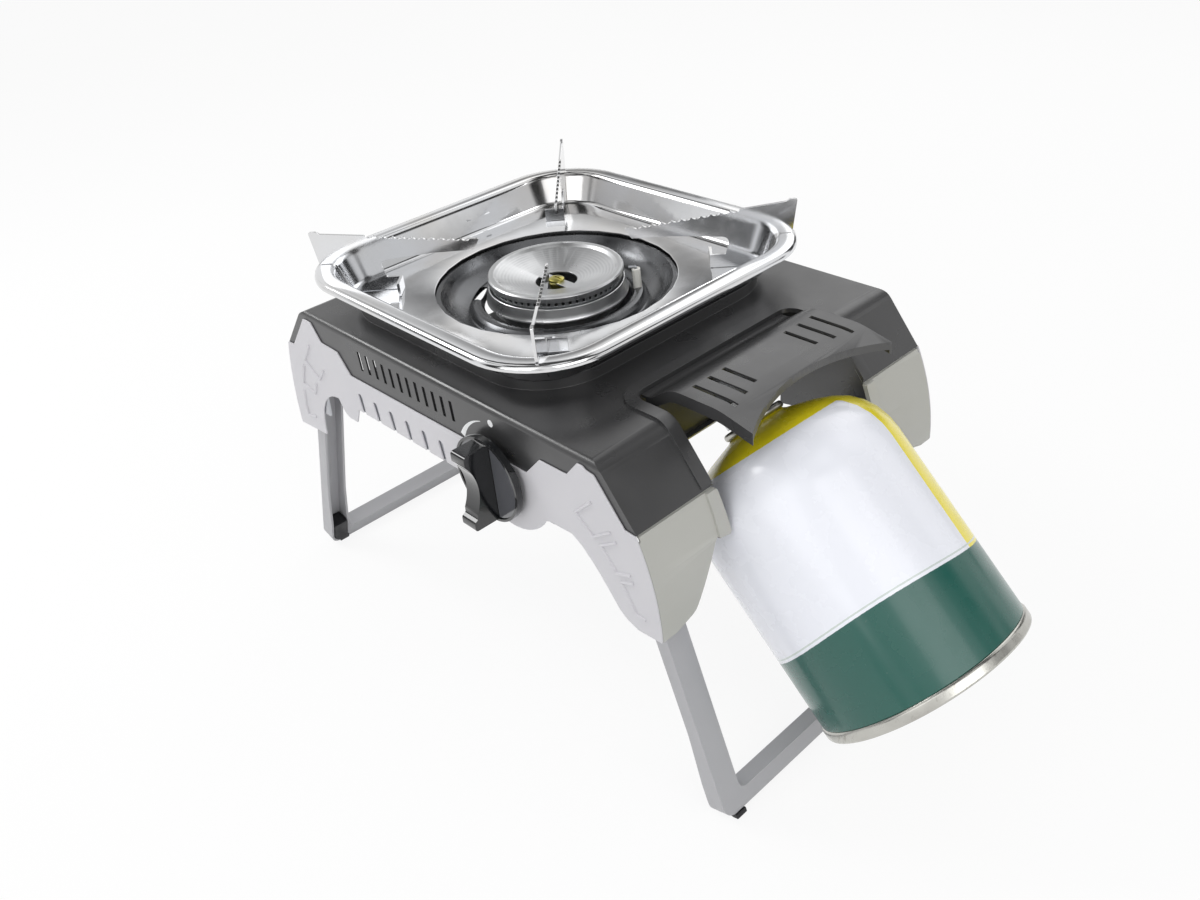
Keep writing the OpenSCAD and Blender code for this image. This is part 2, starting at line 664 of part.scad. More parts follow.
module burner_bowl() {
    top = -seat_drop - sheet;
    color("#4A4C50") at_tray() difference() {
        rotate_extrude($fn = 96) polygon([
            [opening_r + 4, top], [opening_r - 4.2, top], [59.3, -8.2], [53.5, -12], [50, -13.4],
            [49.3, -13], [48.6, -10.6], [47, -9], [44.8, -8.4], [42.6, -8.9], [41.2, -10.4], [41, -12.5],
            [41.8, -12.5], [42, -10.8], [43.1, -9.7], [44.8, -9.2], [46.5, -9.8], [47.8, -11.1],
            [48.5, -13.5], [50, -14.5], [54, -13], [60, -9], [opening_r - 3.5, top - 0.8],
            [opening_r + 4, top - 0.8]]);
        rotate([0, 0, electrode_angle]) translate([electrode_r, 0, -15])
            cylinder(h = 20, r = ceramic_r + gap);
        rotate([0, 0, 218]) translate([44.5, 0, -12]) cube([5, 16, 12], center = true);
    }
}

module bowl_clips() {
    color("#2E2F31") at_tray() for (a = [-5, 88, 180])
        rotate([0, 0, a]) translate([opening_r + 1.5, 0, -seat_drop - sheet - 2.3])
            cylinder(h = 1.5, r = 1.8);
}

module burner_mount() {
    color("#8F9194") difference() {
        translate([-30, -16, pan_top]) cube([60, 32, 2]);
        for (x = [-25, 25]) translate([x, 0, pan_top - 1]) cylinder(h = 4, r = 2);
    }
}

chamber_r = 21;                             // outer radius of the burner's mixing chamber
head_drop = 10;                             // drop to the upper face of the burner head

module burner_body() {
    foot = pan_top + 2 - tray_floor_h;
    color("#9A9C9E") difference() {
        at_tray() rotate_extrude($fn = 96) polygon([
            [0, foot], [chamber_r, foot], [chamber_r, -28], [36, -head_drop - 3], [36, -head_drop],
            [33, -head_drop], [chamber_r - 3, -26], [chamber_r - 3, foot + 3], [4.5, foot + 3],
            [4.5, -head_drop + 1], [2.05, -head_drop + 1], [2.05, foot + 12], [0, foot + 12]]);
        on_tube_axis() translate([0, 0, 6]) cylinder(h = 30, r = tube_r + fit);
    }
}

module burner_collar() {
    color("#C9CACC") at_tray() rotate_extrude($fn = 96) polygon([
        [33, -head_drop], [36.2, -head_drop], [36.9, -8.2], [39.4, -8.2], [39.4, -7.4], [38.9, -6.6],
        [38, -3], [37.6, -0.8], [36.7, -0.8], [37.1, -3.5], [37.9, -7.2], [36.1, -7.2],
        [36.1, -head_drop + 1], [33, -head_drop + 1]]);
}

module port_ring() {
    color("#8E9092") at_tray() difference() {
        ring(36, 32, -head_drop + 1, 2.6);
        for (i = [0:port_count - 1]) rotate([0, 0, 360 * i / port_count])
            translate([31, -0.9, 0.2]) cube([7, 1.8, 2.4 + eps]);
    }
}

module burner_cap() {
    color("#C9CACC") at_tray() rotate_extrude($fn = 96) polygon([
        [cap_hole_r, -1.2], [cap_r - 5, cap_h - 1.5], [cap_r - 3.5, cap_h], [cap_r - 0.8, cap_h],
        [cap_r, cap_h - 0.8], [cap_r, 2.6], [cap_r - 6, 2.6], [cap_r - 7, 3.4], [cap_hole_r, -2.4]]);
    color("#C9CACC") at_tray() {
        translate([-cap_hole_r - 1, -3, -2.4]) difference() {
            cube([2 * cap_hole_r + 2, 6, 1.2]);
            translate([cap_hole_r + 1, 3, -1]) cylinder(h = 4, r = 2.1);
        }
    }
}

module cap_screw() {
    color("#B9A94A") at_tray() {
        difference() {
            rotate_extrude() polygon([[0, -1.2], [4.3, -1.2], [4.3, -0.3], [3.3, 0.3], [1.7, 0.65], [0, 0.7]]);
            translate([-5, -0.45, -0.2]) cube([10, 0.9, 2]);
        }
        translate([0, 0, -30]) cylinder(h = 28.9, r = 2);
        translate([0, 0, -head_drop + 1]) ring(4, 2 + fit, 0, head_drop - 1 - 2.4);
    }
}

tap_y = 26 - body_y;                        // middle of the tap body
tap_front = tap_y - 13.5;
tap_back = tap_y + 13;
tube_angle = atan2(tap_y, knob_x);          // direction from the burner to the tap
jet_at = norm([knob_x, tap_y]) - 30.6;      // tip of the gas jet on the mixing tube's axis

// Places its children on the mixing tube's axis, with +Z pointing from burner to tap.
module on_tube_axis() {
    translate([0, 0, knob_h]) rotate([0, 0, tube_angle]) rotate([0, 90, 0]) children();
}

module mixing_tube() {
    color("#A9ABAD") on_tube_axis() rotate_extrude($fn = 64) polygon([
        [tube_r - 1.5, chamber_r - 4], [tube_r, chamber_r - 4], [tube_r, jet_at - 12],
        [tube_r + 0.4, jet_at - 8], [tube_r + 1.2, jet_at - 4], [tube_r + 0.2, jet_at - 4],
        [tube_r - 0.8, jet_at - 8], [tube_r - 2.5, jet_at - 16], [tube_r - 2.5, jet_at - 24],
        [tube_r - 1.5, jet_at - 32]]);
}

module gas_jet() {
    color("#C7A04A") on_tube_axis() difference() {
        union() {
            translate([0, 0, jet_at]) cylinder(h = 5, r1 = 2, r2 = 3.5);
            translate([0, 0, jet_at + 5]) cylinder(h = 4, r = 5, $fn = 6);
            translate([0, 0, jet_at + 9 - eps]) cylinder(h = 5.5, r = 3);
        }
        translate([0, 0, jet_at - 1]) cylinder(h = 17, r = 0.5, $fn = 16);
    }
}

// Places its children at the electrode's foot, leaning towards the cap.
module on_electrode() {
    rotate([0, 0, electrode_angle]) translate([electrode_r + 1, 0, tray_floor_h - 34])
        rotate([0, -2, 0]) children();
}

module spark_electrode() {
    color("#F2F2EE") on_electrode() difference() {
        union() {
            cylinder(h = 36, r = ceramic_r);
            translate([0, 0, 8]) cylinder(h = 5, r = ceramic_r + 1.6);
        }
        translate([0, 0, -1]) cylinder(h = 40, r = 0.8 + fit);
    }
}

module electrode_pin() {
    color("#C8C8C4") on_electrode() {
        translate([0, 0, -4]) cylinder(h = 41, r = 0.8);
        translate([0, 0, 37]) rotate([0, -90, 0]) cylinder(h = 4, r = 0.8);
    }
}

// The lead from the igniter to the electrode, held inside the body.
lead_points = [[97, tap_y + 21, -25], [95, -45, -24], [82, -18, -23], [62, 14, -30], [46, 29, -39],
    [36, 33, -45], [31.4, 33, -44], [30.8, 33, -41], [30.8, 33, -38.3]];

module electrode_lead() {
    color("#B03A2E") at_tray() swept(smooth(lead_points, 6), 1.2, 8, [0, 0.1, 1]);
}

piezo_x = 97;
piezo_h = -25;

module piezo_igniter() {
    color("#E8E8E2") at_tray() {
        rod_y(piezo_x, piezo_h, tap_front + gap, tap_y + 17, piezo_r);
        rod_y(piezo_x, piezo_h, tap_y + 17 - eps, tap_y + 20.7, 2.2);
        rod_y(piezo_x, piezo_h, tap_front - 6, tap_front + gap, 3);
    }
}

// ---------------------------------------------------------------- gas tap and knob

collar_y = -body_y + sheet + 1;             // front face of the spindle collar

module tap_bracket() {
    color("#8F9194") at_tray() difference() {
        union() {
            translate([knob_x - 18, tap_front - 1.5, pan_top - tray_floor_h])
                cube([58, 1.5, panel_drop - deck_drop - 2 * sheet]);
            translate([knob_x - 18, tap_front - 1.5, pan_top - tray_floor_h]) cube([58, 12, 1]);
        }
        rod_y(knob_x, -knob_drop, tap_front - 3, tap_front + 2, spindle_r + 1);
        rod_y(piezo_x, piezo_h, tap_front - 3, tap_front + 2, 3 + fit);
    }
}

module tap_body() {
    color("#C2C3C0") at_tray() difference() {
        union() {
            translate([knob_x - tap_w / 2, tap_front, -knob_drop - 9]) cube([tap_w, 26.5, 20]);
            rod_y(knob_x, -knob_drop, tap_back - eps, tap_back + 5, 8);
        }
        rod_y(knob_x, -knob_drop, tap_front - 1, tap_front + 22, spindle_r + fit);
        rod_y(knob_x, -knob_drop, tap_back + 1, tap_back + 6, pipe_r + gap);
        translate([0, 0, -tray_floor_h]) on_tube_axis() translate([0, 0, jet_at + 6])
            cylinder(h = 9, r = 3 + fit);
    }
}

module tap_spindle() {
    color("#C9A24D") at_tray() rod_y(knob_x, -knob_drop, -panel_y - 14, tap_front + 14, spindle_r);
}

module spindle_collar() {
    color("#B8B9BB") at_tray() difference() {
        rod_y(knob_x, -knob_drop, collar_y, collar_y + 2, spindle_r + 3);
        rod_y(knob_x, -knob_drop, collar_y - 1, collar_y + 3, spindle_r + fit);
    }
}

module knob_spring() {
    turns = 5;
    wire = 0.45;
    y0 = collar_y + 2 + wire;
    y1 = tap_front - 1.5 - wire;
    color("#D8D8D8") at_tray() translate([knob_x, 0, -knob_drop])
        swept([for (i = [0:turns * 14]) let (a = 360 * i / 14)
            [(spindle_r + 1.9) * cos(a), y0 + (y1 - y0) * i / (turns * 14), (spindle_r + 1.9) * sin(a)]],
            wire, 6, [0, 1, 0]);
}

module knob() {
    back = -panel_y - 0.5 - push_travel;
    face = back - 2.5;
    color("#17181A") at_tray() difference() {
        union() {
            rod_y(knob_x, -knob_drop, face, back, knob_r);
            difference() {
                rod_y(knob_x, -knob_drop, face - 1, face, knob_r);
                rod_y(knob_x, -knob_drop, face - 2, face, knob_r - 1.3);
            }
            translate([knob_x - grip_w / 2, 0, -knob_drop]) rotate([90, 0, 90]) linear_extrude(grip_w)
                difference() {
                    polygon(rounded([[face + eps, -knob_r + 1.6, 0], [face + eps, knob_r - 1.6, 0],
                        [face - grip_reach, knob_r - 1.6, 1.5], [face - grip_reach, knob_r - 8.5, 1.5],
                        [face - grip_reach + 2.5, knob_r - 10, 1], [face - grip_reach + 2.5, -knob_r + 8, 1],
                        [face - grip_reach, -knob_r + 6.5, 1.5], [face - grip_reach, -knob_r + 1.6, 1.5]], 4));
                    translate([face - grip_reach - 20, 0]) circle(r = 25.5, $fn = 96);
                }
        }
        rod_y(knob_x, -knob_drop, -panel_y - 14.2, back + 1, spindle_r + fit);
    }
}

// ---------------------------------------------------------------- gas line

stub_h = -neck_drop + 17;                   // height of the adapter's inlet, from the tray floor
shield_x = 103;                             // burner side of the heat shield
bay_y = notch_w / 2 + 4;                    // outer face of the cartridge bay's side walls

// The pipe from the tap to the cartridge adapter, held inside the body.
pipe_points = [[knob_x, tap_back + 1.2, -knob_drop], [knob_x, tap_back + 10, -knob_drop],
    [knob_x, tap_back + 16, -knob_drop], [knob_x + 3, -36, -40], [knob_x + 10, -15, -30],
    [shield_x - 17, -2, stub_h - 1], [shield_x - 10, 0, stub_h], [shield_x - 5, 0, stub_h],
    [shield_x + sheet - fit, 0, stub_h]];

module gas_pipe() {
    color("#C98A52") at_tray() swept(smooth(pipe_points, 6), pipe_r, 12, [0, 0.1, 1]);
}

module pipe_nuts() {
    color("#C7A04A") at_tray() difference() {
        union() {
            translate([knob_x, tap_back + 5 + 5, -knob_drop]) rotate([90, 0, 0])
                cylinder(h = 5, r = 6.5, $fn = 6);
            translate([shield_x - 5.5, 0, stub_h]) rotate([0, 90, 0]) cylinder(h = 5.5, r = 6.5, $fn = 6);
        }
        rod_y(knob_x, -knob_drop, tap_back + 4, tap_back + 11, pipe_r + gap);
        translate([shield_x - 7, 0, stub_h]) rotate([0, 90, 0]) cylinder(h = 9, r = pipe_r + gap);
    }
}

// Places its children at the neck ring: +Z points out of the cartridge, into the adapter.
module on_neck() {
    translate([neck_x, 0, tray_floor_h - neck_drop]) rotate([0, -can_tilt, 0]) children();
}

module cartridge_adapter() {
    color("#B9BABC") difference() {
        union() {
            on_neck() translate([0, 0, 11]) cylinder(h = 15, r = 9);
            translate([shield_x + sheet, 0, tray_floor_h + stub_h]) rotate([0, 90, 0])
                cylinder(h = neck_x - 26 * sin(can_tilt) - shield_x - sheet, r = 6.5);
        }
        on_neck() translate([0, 0, 8]) cylinder(h = 6, r = 2);
    }
}

module adapter_nut() {
    color("#C9CACC") on_neck() difference() {
        union() {
            translate([0, 0, 1.2]) cylinder(h = 4.8, r = 13);
            translate([0, 0, 6 - eps]) cylinder(h = 5 + eps, r = 12.5, $fn = 6);
        }
        cylinder(h = 12, r = thread_r + fit);
    }
}

module seal_washer() {
    color("#2A2A2A") on_neck() ring(9, thread_r + 0.2, 0.2, 1.2);
}

// ---------------------------------------------------------------- cartridge

module cartridge_can() {
    wall = 1;
    shoulder = [[15, -3.6], [16.8, -4.8], [22, -6.4], [30, -9], [38, -12.6], [44.5, -17], [49.2, -22.4],
        [52.6, -28.8], [54.4, -35.4], [can_r, -42]];
    color("#F0F2FA") on_neck() rotate_extrude($fn = 96) polygon(concat(
        shoulder, [[can_r, -can_l + 6], [can_r - wall, -can_l + 6]],
        [for (i = [len(shoulder) - 1:-1:0]) [shoulder[i][0] - wall, shoulder[i][1] - wall * (i == 0 ? 0 : 1)]]));
}

module cartridge_valve() {
    color("#D6C98A") on_neck() rotate_extrude($fn = 64) polygon([
        [0, -5], [thread_r, -5], [thread_r + 5, -5], [12.5, -1], [14, 0], [15.6, 0], [16.6, -1],
        [16.6, -2.6], [15.8, -3.6], [13.5, -3.6], [12, -4.2], [thread_r + 4, -6.2], [0, -6.2]]);
    color("#C7A04A") on_neck() difference() {
        translate([0, 0, -5.1]) cylinder(h = 14.1, r = thread_r);
        translate([0, 0, 2]) cylinder(h = 8, r = 1.6);
    }
}

module cartridge_base() {
    color("#B6B7B2") on_neck() rotate_extrude($fn = 96) polygon([
        [0, -can_l + 14], [30, -can_l + 11], [52, -can_l + 5], [can_r - 1.2, -can_l + 1],
        [can_r - 0.6, -can_l], [can_r + 0.4, -can_l], [can_r + 0.8, -can_l + 1],
        [can_r + 0.8, -can_l + 5], [can_r, -can_l + 6], [can_r - 1, -can_l + 6],
        [52.3, -can_l + 6], [30.3, -can_l + 12], [0, -can_l + 15]]);
}

// ---------------------------------------------------------------- legs

left_leg_l = (pivot_h - 1 - leg_t / 2 * sin(left_splay)) / cos(left_splay);
right_leg_l = (pivot_h - 1 - leg_t / 2 * sin(right_splay)) / cos(right_splay);

// Stands its children at a leg pivot: side 1 is right, side -1 is left.
module at_pivot(side) {
    x = side > 0 ? right_pivot_x : left_pivot_x;
    lean = side > 0 ? right_splay : left_splay;
    mirror([side > 0 ? 0 : 1, 0, 0]) translate([x, 0, pivot_h]) rotate([0, -lean, 0]) children();
}

// A U-shaped leg frame hanging from its pivot: two channels open towards the stove, joined
// by a crossbar that is hollow from below.
module leg_frame(length, span) {
    half = span / 2;
    inner = half - leg_w;
    top = leg_t / 2 + 1;
    back = leg_t / 2 - foot_t;
    difference() {
        intersection() {
            translate([leg_t / 2, 0, 0]) rotate([90, 0, -90]) linear_extrude(foot_t) polygon(rounded([
                [-half, top, 0], [-half, -length, 7], [half, -length, 7], [half, top, 0],
                [inner, top, 0], [inner, -length + crossbar_h, 5],
                [-inner, -length + crossbar_h, 5], [-inner, top, 0]], 6));
            upright(-half - 1, half + 1) polygon(rounded([
                [leg_t / 2, top + 1, 0], [leg_t / 2, -length - 1, 0], [back, -length - 1, 0],
                [back, -length + 18, 30], [-leg_t / 2, -length + 48, 60], [-leg_t / 2, top + 1, 0]], 4));
        }
        for (m = [0, 1]) mirror([0, m, 0]) translate([leg_t / 2 - leg_wall, 0, 0])
            rotate([90, 0, -90]) linear_extrude(foot_t) polygon(rounded([
                [-half + leg_wall, top + 1, 0], [-half + leg_wall, -length + leg_wall, 5.5],
                [-inner - leg_wall, -length + leg_wall, 0], [-inner - leg_wall, top + 1, 0]], 6));
        translate([back + leg_wall, -inner, -length - 1])
            cube([foot_t - 2 * leg_wall, 2 * inner, crossbar_h + 1 - leg_wall]);
        rod_y(0, 0, -half - 1, half + 1, pin_r + fit);
        difference() {
            translate([-leg_t, -half - 1, 0]) cube([2 * leg_t, span + 2, top + 1]);
            rod_y(0, 0, -half - 2, half + 2, top);
        }
    }
}

module left_leg() { color("#B4B2BE") at_pivot(-1) leg_frame(left_leg_l, left_span); }
module right_leg() { color("#B4B2BE") at_pivot(1) leg_frame(right_leg_l, right_span); }

// Plastic feet that plug the lower corners of a leg frame and stand on the table.
module feet(side, length, span) {
    y0 = span / 2 - leg_w + leg_wall + gap;
    y1 = span / 2 - leg_wall - gap;
    floor = -length + leg_wall + gap;
    front = leg_t / 2 - leg_wall - gap;
    back = leg_t / 2 - foot_t - 1.2;
    for (m = [0, 1]) mirror([0, m, 0]) intersection() {
        at_pivot(side) {
            translate([front, 0, 0]) rotate([90, 0, -90]) linear_extrude(front - back)
                polygon(rounded([[-y0, floor, 0], [-y0, floor + 17, 1], [-y1, floor + 17, 1],
                    [-y1, floor, 6]]));
            translate([back, y0 - 1, -length - 3]) cube([1.2 - gap, y1 - y0 - 3, 6]);
            translate([back, y0 - 1, -length - 3]) cube([foot_t + 2, y1 - y0 - 3, 3 - gap]);
        }
        translate([-300, -300, 0]) cube([600, 600, 200]);
    }
}

module left_leg_feet() { color("#1E1E20") feet(-1, left_leg_l, left_span); }
module right_leg_feet() { color("#1E1E20") feet(1, right_leg_l, right_span); }

bracket_t = 1.5;
bracket_y = body_y - bracket_t;             // inner face of the leg brackets

module leg_brackets() {
    color("#A6A8AA") for (s = [[-left_pivot_x, 0], [right_pivot_x, 1]]) for (m = [0, 1])
        mirror([0, m, 0]) translate([s[0], 0, pivot_h]) upright(bracket_y, body_y)
            polygon(s[1] == 0 ? [[-13, -12], [13, -12], [15, 8], [8, 20], [-8, 20], [-13, 8]]
                : [[-7, -5], [0, -11], [7, -13], [10, 5], [6, 20], [-10, 20], [-11, 3]]);
}

// The pivot pins of one leg frame, front and back, each with an inner head and, where
// the frame stands off from its bracket, a spacer.
module leg_pins(side) {
    x = side > 0 ? right_pivot_x : -left_pivot_x;
    half = (side > 0 ? right_span : left_span) / 2;
    inner = half - leg_w;
    color("#D0D0CE") for (m = [0, 1]) mirror([0, m, 0]) {
        rod_y(x, pivot_h, inner - gap - eps, bracket_y, pin_r);
        rod_y(x, pivot_h, inner - gap - 1.5, inner - gap, pin_r + 1.5);
        if (bracket_y - half > gap + 2)
            rod_y(x, pivot_h, half + gap, bracket_y, pin_r + 2);
    }
}

module left_leg_pins() { leg_pins(-1); }
module right_leg_pins() { leg_pins(1); }

// ---------------------------------------------------------------- assembly

top_cover();
front_panel();
back_panel();
left_end_panel();
right_end_panel_front();
right_end_panel_back();
base_pan();
base_screws();
cartridge_guard();
heat_shield();
drip_tray();
pan_support_1();
pan_support_2();
pan_support_3();
pan_support_4();
burner_bowl();
bowl_clips();
burner_mount();
burner_body();
burner_collar();
port_ring();
burner_cap();
cap_screw();
mixing_tube();
gas_jet();
spark_electrode();
electrode_pin();
electrode_lead();
piezo_igniter();
tap_bracket();
tap_body();
tap_spindle();
spindle_collar();
knob_spring();
knob();
gas_pipe();
pipe_nuts();
cartridge_adapter();
adapter_nut();
seal_washer();
leg_brackets();
left_leg_pins();
right_leg_pins();
left_leg();
right_leg();
left_leg_feet();
right_leg_feet();
cartridge_can();
cartridge_valve();
cartridge_base();
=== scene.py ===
"""Looks for a tabletop gas stove: finishes, pressed-metal pieces, printed marks and a studio.

Everything is in metres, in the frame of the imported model: X runs along the body towards the
cartridge, Y from the knob side to the back, Z up along the burner axis from the table.
"""

from __future__ import annotations

import logging
import math
from dataclasses import dataclass
from enum import Enum
from typing import Any, Callable, Sequence

import bmesh
import bpy
from mathutils import Matrix, Vector


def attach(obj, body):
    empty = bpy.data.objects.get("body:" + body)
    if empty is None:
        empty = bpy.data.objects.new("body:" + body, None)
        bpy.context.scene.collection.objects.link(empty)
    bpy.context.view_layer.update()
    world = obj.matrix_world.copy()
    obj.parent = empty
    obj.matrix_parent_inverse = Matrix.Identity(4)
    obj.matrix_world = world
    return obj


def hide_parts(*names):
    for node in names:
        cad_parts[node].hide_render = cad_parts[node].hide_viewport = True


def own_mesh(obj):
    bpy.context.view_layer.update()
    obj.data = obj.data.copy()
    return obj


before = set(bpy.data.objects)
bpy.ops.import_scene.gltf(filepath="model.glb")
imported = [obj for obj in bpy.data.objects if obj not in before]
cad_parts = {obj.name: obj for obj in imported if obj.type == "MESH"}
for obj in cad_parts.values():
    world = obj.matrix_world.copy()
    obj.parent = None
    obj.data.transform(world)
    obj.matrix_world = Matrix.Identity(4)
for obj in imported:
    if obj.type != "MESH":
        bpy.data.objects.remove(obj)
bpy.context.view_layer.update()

logging.basicConfig(level=logging.INFO, format="%(message)s")
LOG = logging.getLogger("stove")

MM = 0.001
MERGE = 2e-6
# Places and sizes in millimetres.
TRAY_Z = 200.0
PANEL_Y = 106.0
SKIRT_Y = 105.0
SEAT_HALF = 89.0
SEAT_DROP = 7.0
NOTCH_HALF = 66.0
NOTCH_RIB_X = 107.0
KNOB_X, KNOB_Z = 68.5, 157.0
KNOB_DISH_R = 21.0
KNOB_DISH_Y = 111.5
KNOB_GRIP_HALF = 5.3
# The cartridge's neck in metres and its tilt in radians.
NECK = Vector((137.0, 0.0, 163.0)) * MM
CAN_TILT = math.radians(46.0)

Colour = tuple[float, float, float, float]
Loop = list[Vector]


class Body(str, Enum):
    """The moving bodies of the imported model."""

    STOVE = "stove_body"
    TRAY = "tray"
    KNOB = "knob"
    LEFT_LEG = "left_leg"
    RIGHT_LEG = "right_leg"
    CARTRIDGE = "cartridge"


class Slot(str, Enum):
    """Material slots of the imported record."""

    CHARCOAL = "charcoal_enamel"
    GREY = "grey_enamel"
    END = "end_enamel"
    LEG = "leg_enamel"
    STAINLESS = "polished_stainless"
    BOWL = "dark_bowl"
    CAST = "cast_aluminium"
    BRIGHT = "bright_aluminium"
    ZINC = "zinc_steel"
    BRASS = "brass"
    COPPER = "copper_pipe"
    CERAMIC = "ceramic"
    GLOSS = "black_gloss"
    MATTE = "black_matte"
    WHITE = "white_plastic"
    RED = "red_sleeve"
    RUBBER = "black_rubber"
    PRINTED = "printed_tin"
    TINPLATE = "tinplate"


def to_linear(hex_colour: str) -> Colour:
    """Turns a written sRGB colour into Blender's linear colour.

    Args:
        hex_colour: Six hexadecimal digits.

    Returns:
        The linear colour with alpha 1.
    """
    parts = [int(hex_colour[i : i + 2], 16) / 255.0 for i in (0, 2, 4)]
    linear = [c / 12.92 if c <= 0.04045 else ((c + 0.055) / 1.055) ** 2.4 for c in parts]
    return (linear[0], linear[1], linear[2], 1.0)


def mm(x: float, y: float, z: float) -> Vector:
    """A point given in millimetres.

    Args:
        x: Along the body.
        y: From the knob side to the back.
        z: Height over the table.

    Returns:
        The point in metres.
    """
    return Vector((x, y, z)) * MM


# ------------------------------------------------------------------ materials


class Graph:
    """A node tree with one way to add a node and helpers for what the finishes share."""

    def __init__(self, name: str) -> None:
        """Starts a material with a Principled shader wired to its output.

        Args:
            name: Name of the real material.
        """
        self.material = bpy.data.materials.new(name)
        self.material.use_nodes = True
        self.tree = self.material.node_tree
        self.tree.nodes.clear()
        self.shader = self.add("ShaderNodeBsdfPrincipled")
        self.output = self.add("ShaderNodeOutputMaterial", {"Surface": self.shader.outputs[0]})
        self.coords = self.add("ShaderNodeTexCoord").outputs["Object"]

    def add(self, kind: str, inputs: dict[Any, Any] | None = None, **settings: Any) -> bpy.types.Node:
        """Adds a node, sets its properties and fills or links its inputs.

        Args:
            kind: Blender's node type.
            inputs: Input name or index to a value or to another node's output.
            **settings: Properties of the node.

        Returns:
            The new node.
        """
        node = self.tree.nodes.new(kind)
        for key, value in settings.items():
            setattr(node, key, value)
        for key, value in (inputs or {}).items():
            if isinstance(value, bpy.types.NodeSocket):
                self.tree.links.new(value, node.inputs[key])
            else:
                node.inputs[key].default_value = value
        return node

    def feed(self, socket: str, value: Any) -> None:
        """Links or sets one input of the shader.

        Args:
            socket: Name of the shader's input.
            value: A constant or another node's output.
        """
        if isinstance(value, bpy.types.NodeSocket):
            self.tree.links.new(value, self.shader.inputs[socket])
        else:
            self.shader.inputs[socket].default_value = value

    def noise(self, scale: float, detail: float = 3.0, vector: Any = None, rough: float = 0.5) -> Any:
        """Noise in object coordinates.

        Args:
            scale: Features per metre, roughly.
            detail: Octaves.
            vector: Coordinates other than the object's.
            rough: How strong the fine octaves are.

        Returns:
            The factor output.
        """
        inputs = {"Vector": vector or self.coords, "Scale": scale, "Detail": detail, "Roughness": rough}
        return self.add("ShaderNodeTexNoise", inputs).outputs["Fac"]

    def math(self, operation: str, a: Any, b: Any = 0.0, c: Any = 0.0) -> Any:
        """One Math node.

        Args:
            operation: Blender's operation name.
            a: First value.
            b: Second value.
            c: Third value.

        Returns:
            The value output.
        """
        return self.add("ShaderNodeMath", {0: a, 1: b, 2: c}, operation=operation).outputs[0]

    def ramp(self, value: Any, low: float, high: float, to_low: float, to_high: float) -> Any:
        """Maps a range of values onto another one, held at its ends.

        Args:
            value: What is mapped.
            low: Start of the input range.
            high: End of the input range.
            to_low: Start of the output range.
            to_high: End of the output range.

        Returns:
            The mapped value's output.
        """
        inputs = {0: value, 1: low, 2: high, 3: to_low, 4: to_high}
        return self.add("ShaderNodeMapRange", inputs, clamp=True).outputs[0]

    def mix(self, factor: Any, a: Any, b: Any) -> Any:
        """Mixes two colours.

        Args:
            factor: Share of the second colour.
            a: First colour or output.
            b: Second colour or output.

        Returns:
            The colour output.
        """
        node = self.add("ShaderNodeMix", {0: factor, 6: a, 7: b}, data_type="RGBA")
        return node.outputs[2]

    def bump(self, height: Any, distance: float, strength: float = 1.0, normal: Any = None) -> Any:
        """A bump of a given depth.

        Args:
            height: Height, 0 to 1.
            distance: Depth of the relief in metres.
            strength: Share of the relief that shows.
            normal: Normal under this bump.

        Returns:
            The normal output.
        """
        inputs = {"Height": height, "Distance": distance, "Strength": strength}
        if normal is not None:
            inputs["Normal"] = normal
        return self.add("ShaderNodeBump", inputs).outputs[0]

    def edge_wear(self, reach: float) -> Any:
        """How exposed a convex edge is, from the surface's pointiness.

        Args:
            reach: Share of the surface's curvature range that counts as an edge.

        Returns:
            A factor that is 1 on worn edges.
        """
        point = self.add("ShaderNodeNewGeometry").outputs["Pointiness"]
        return self.ramp(point, 0.5 + reach, 0.5 + 2.5 * reach, 0.0, 1.0)


@dataclass(frozen=True)
class PowderCoat:
    """Satin powder coat on sheet steel.

    Attributes:
        name: Name of the material.
        colour: Written colour.
        pale: Written colour of the thinner coat over folds and edges.
        roughness: Middle roughness.
        grain: Depth of the orange peel in metres.
        shine: Specular level of the coat.
    """

    name: str
    colour: str
    pale: str
    roughness: float = 0.42
    grain: float = 4e-6
    shine: float = 0.5

    def build(self) -> bpy.types.Material:
        """Builds the material.

        Returns:
            The material.
        """
        g = Graph(self.name)
        cloud = g.noise(14.0, 4.0)
        speck = g.noise(2600.0, 2.0)
        tone = g.mix(g.ramp(cloud, 0.3, 0.7, 0.0, 0.35), to_linear(self.colour), to_linear(self.pale))
        tone = g.mix(g.ramp(speck, 0.62, 0.75, 0.0, 0.3), tone, to_linear(self.pale))
        tone = g.mix(g.math("MULTIPLY", g.edge_wear(0.035), 0.45), tone, to_linear(self.pale))
        g.feed("Base Color", tone)
        patch = g.noise(45.0, 3.0)
        g.feed("Roughness", g.ramp(patch, 0.3, 0.7, self.roughness - 0.05, self.roughness + 0.06))
        peel = g.noise(900.0, 2.0)
        g.feed("Normal", g.bump(g.math("ADD", peel, g.math("MULTIPLY", speck, 0.35)), self.grain))
        g.feed("Specular IOR Level", self.shine)
        return g.material


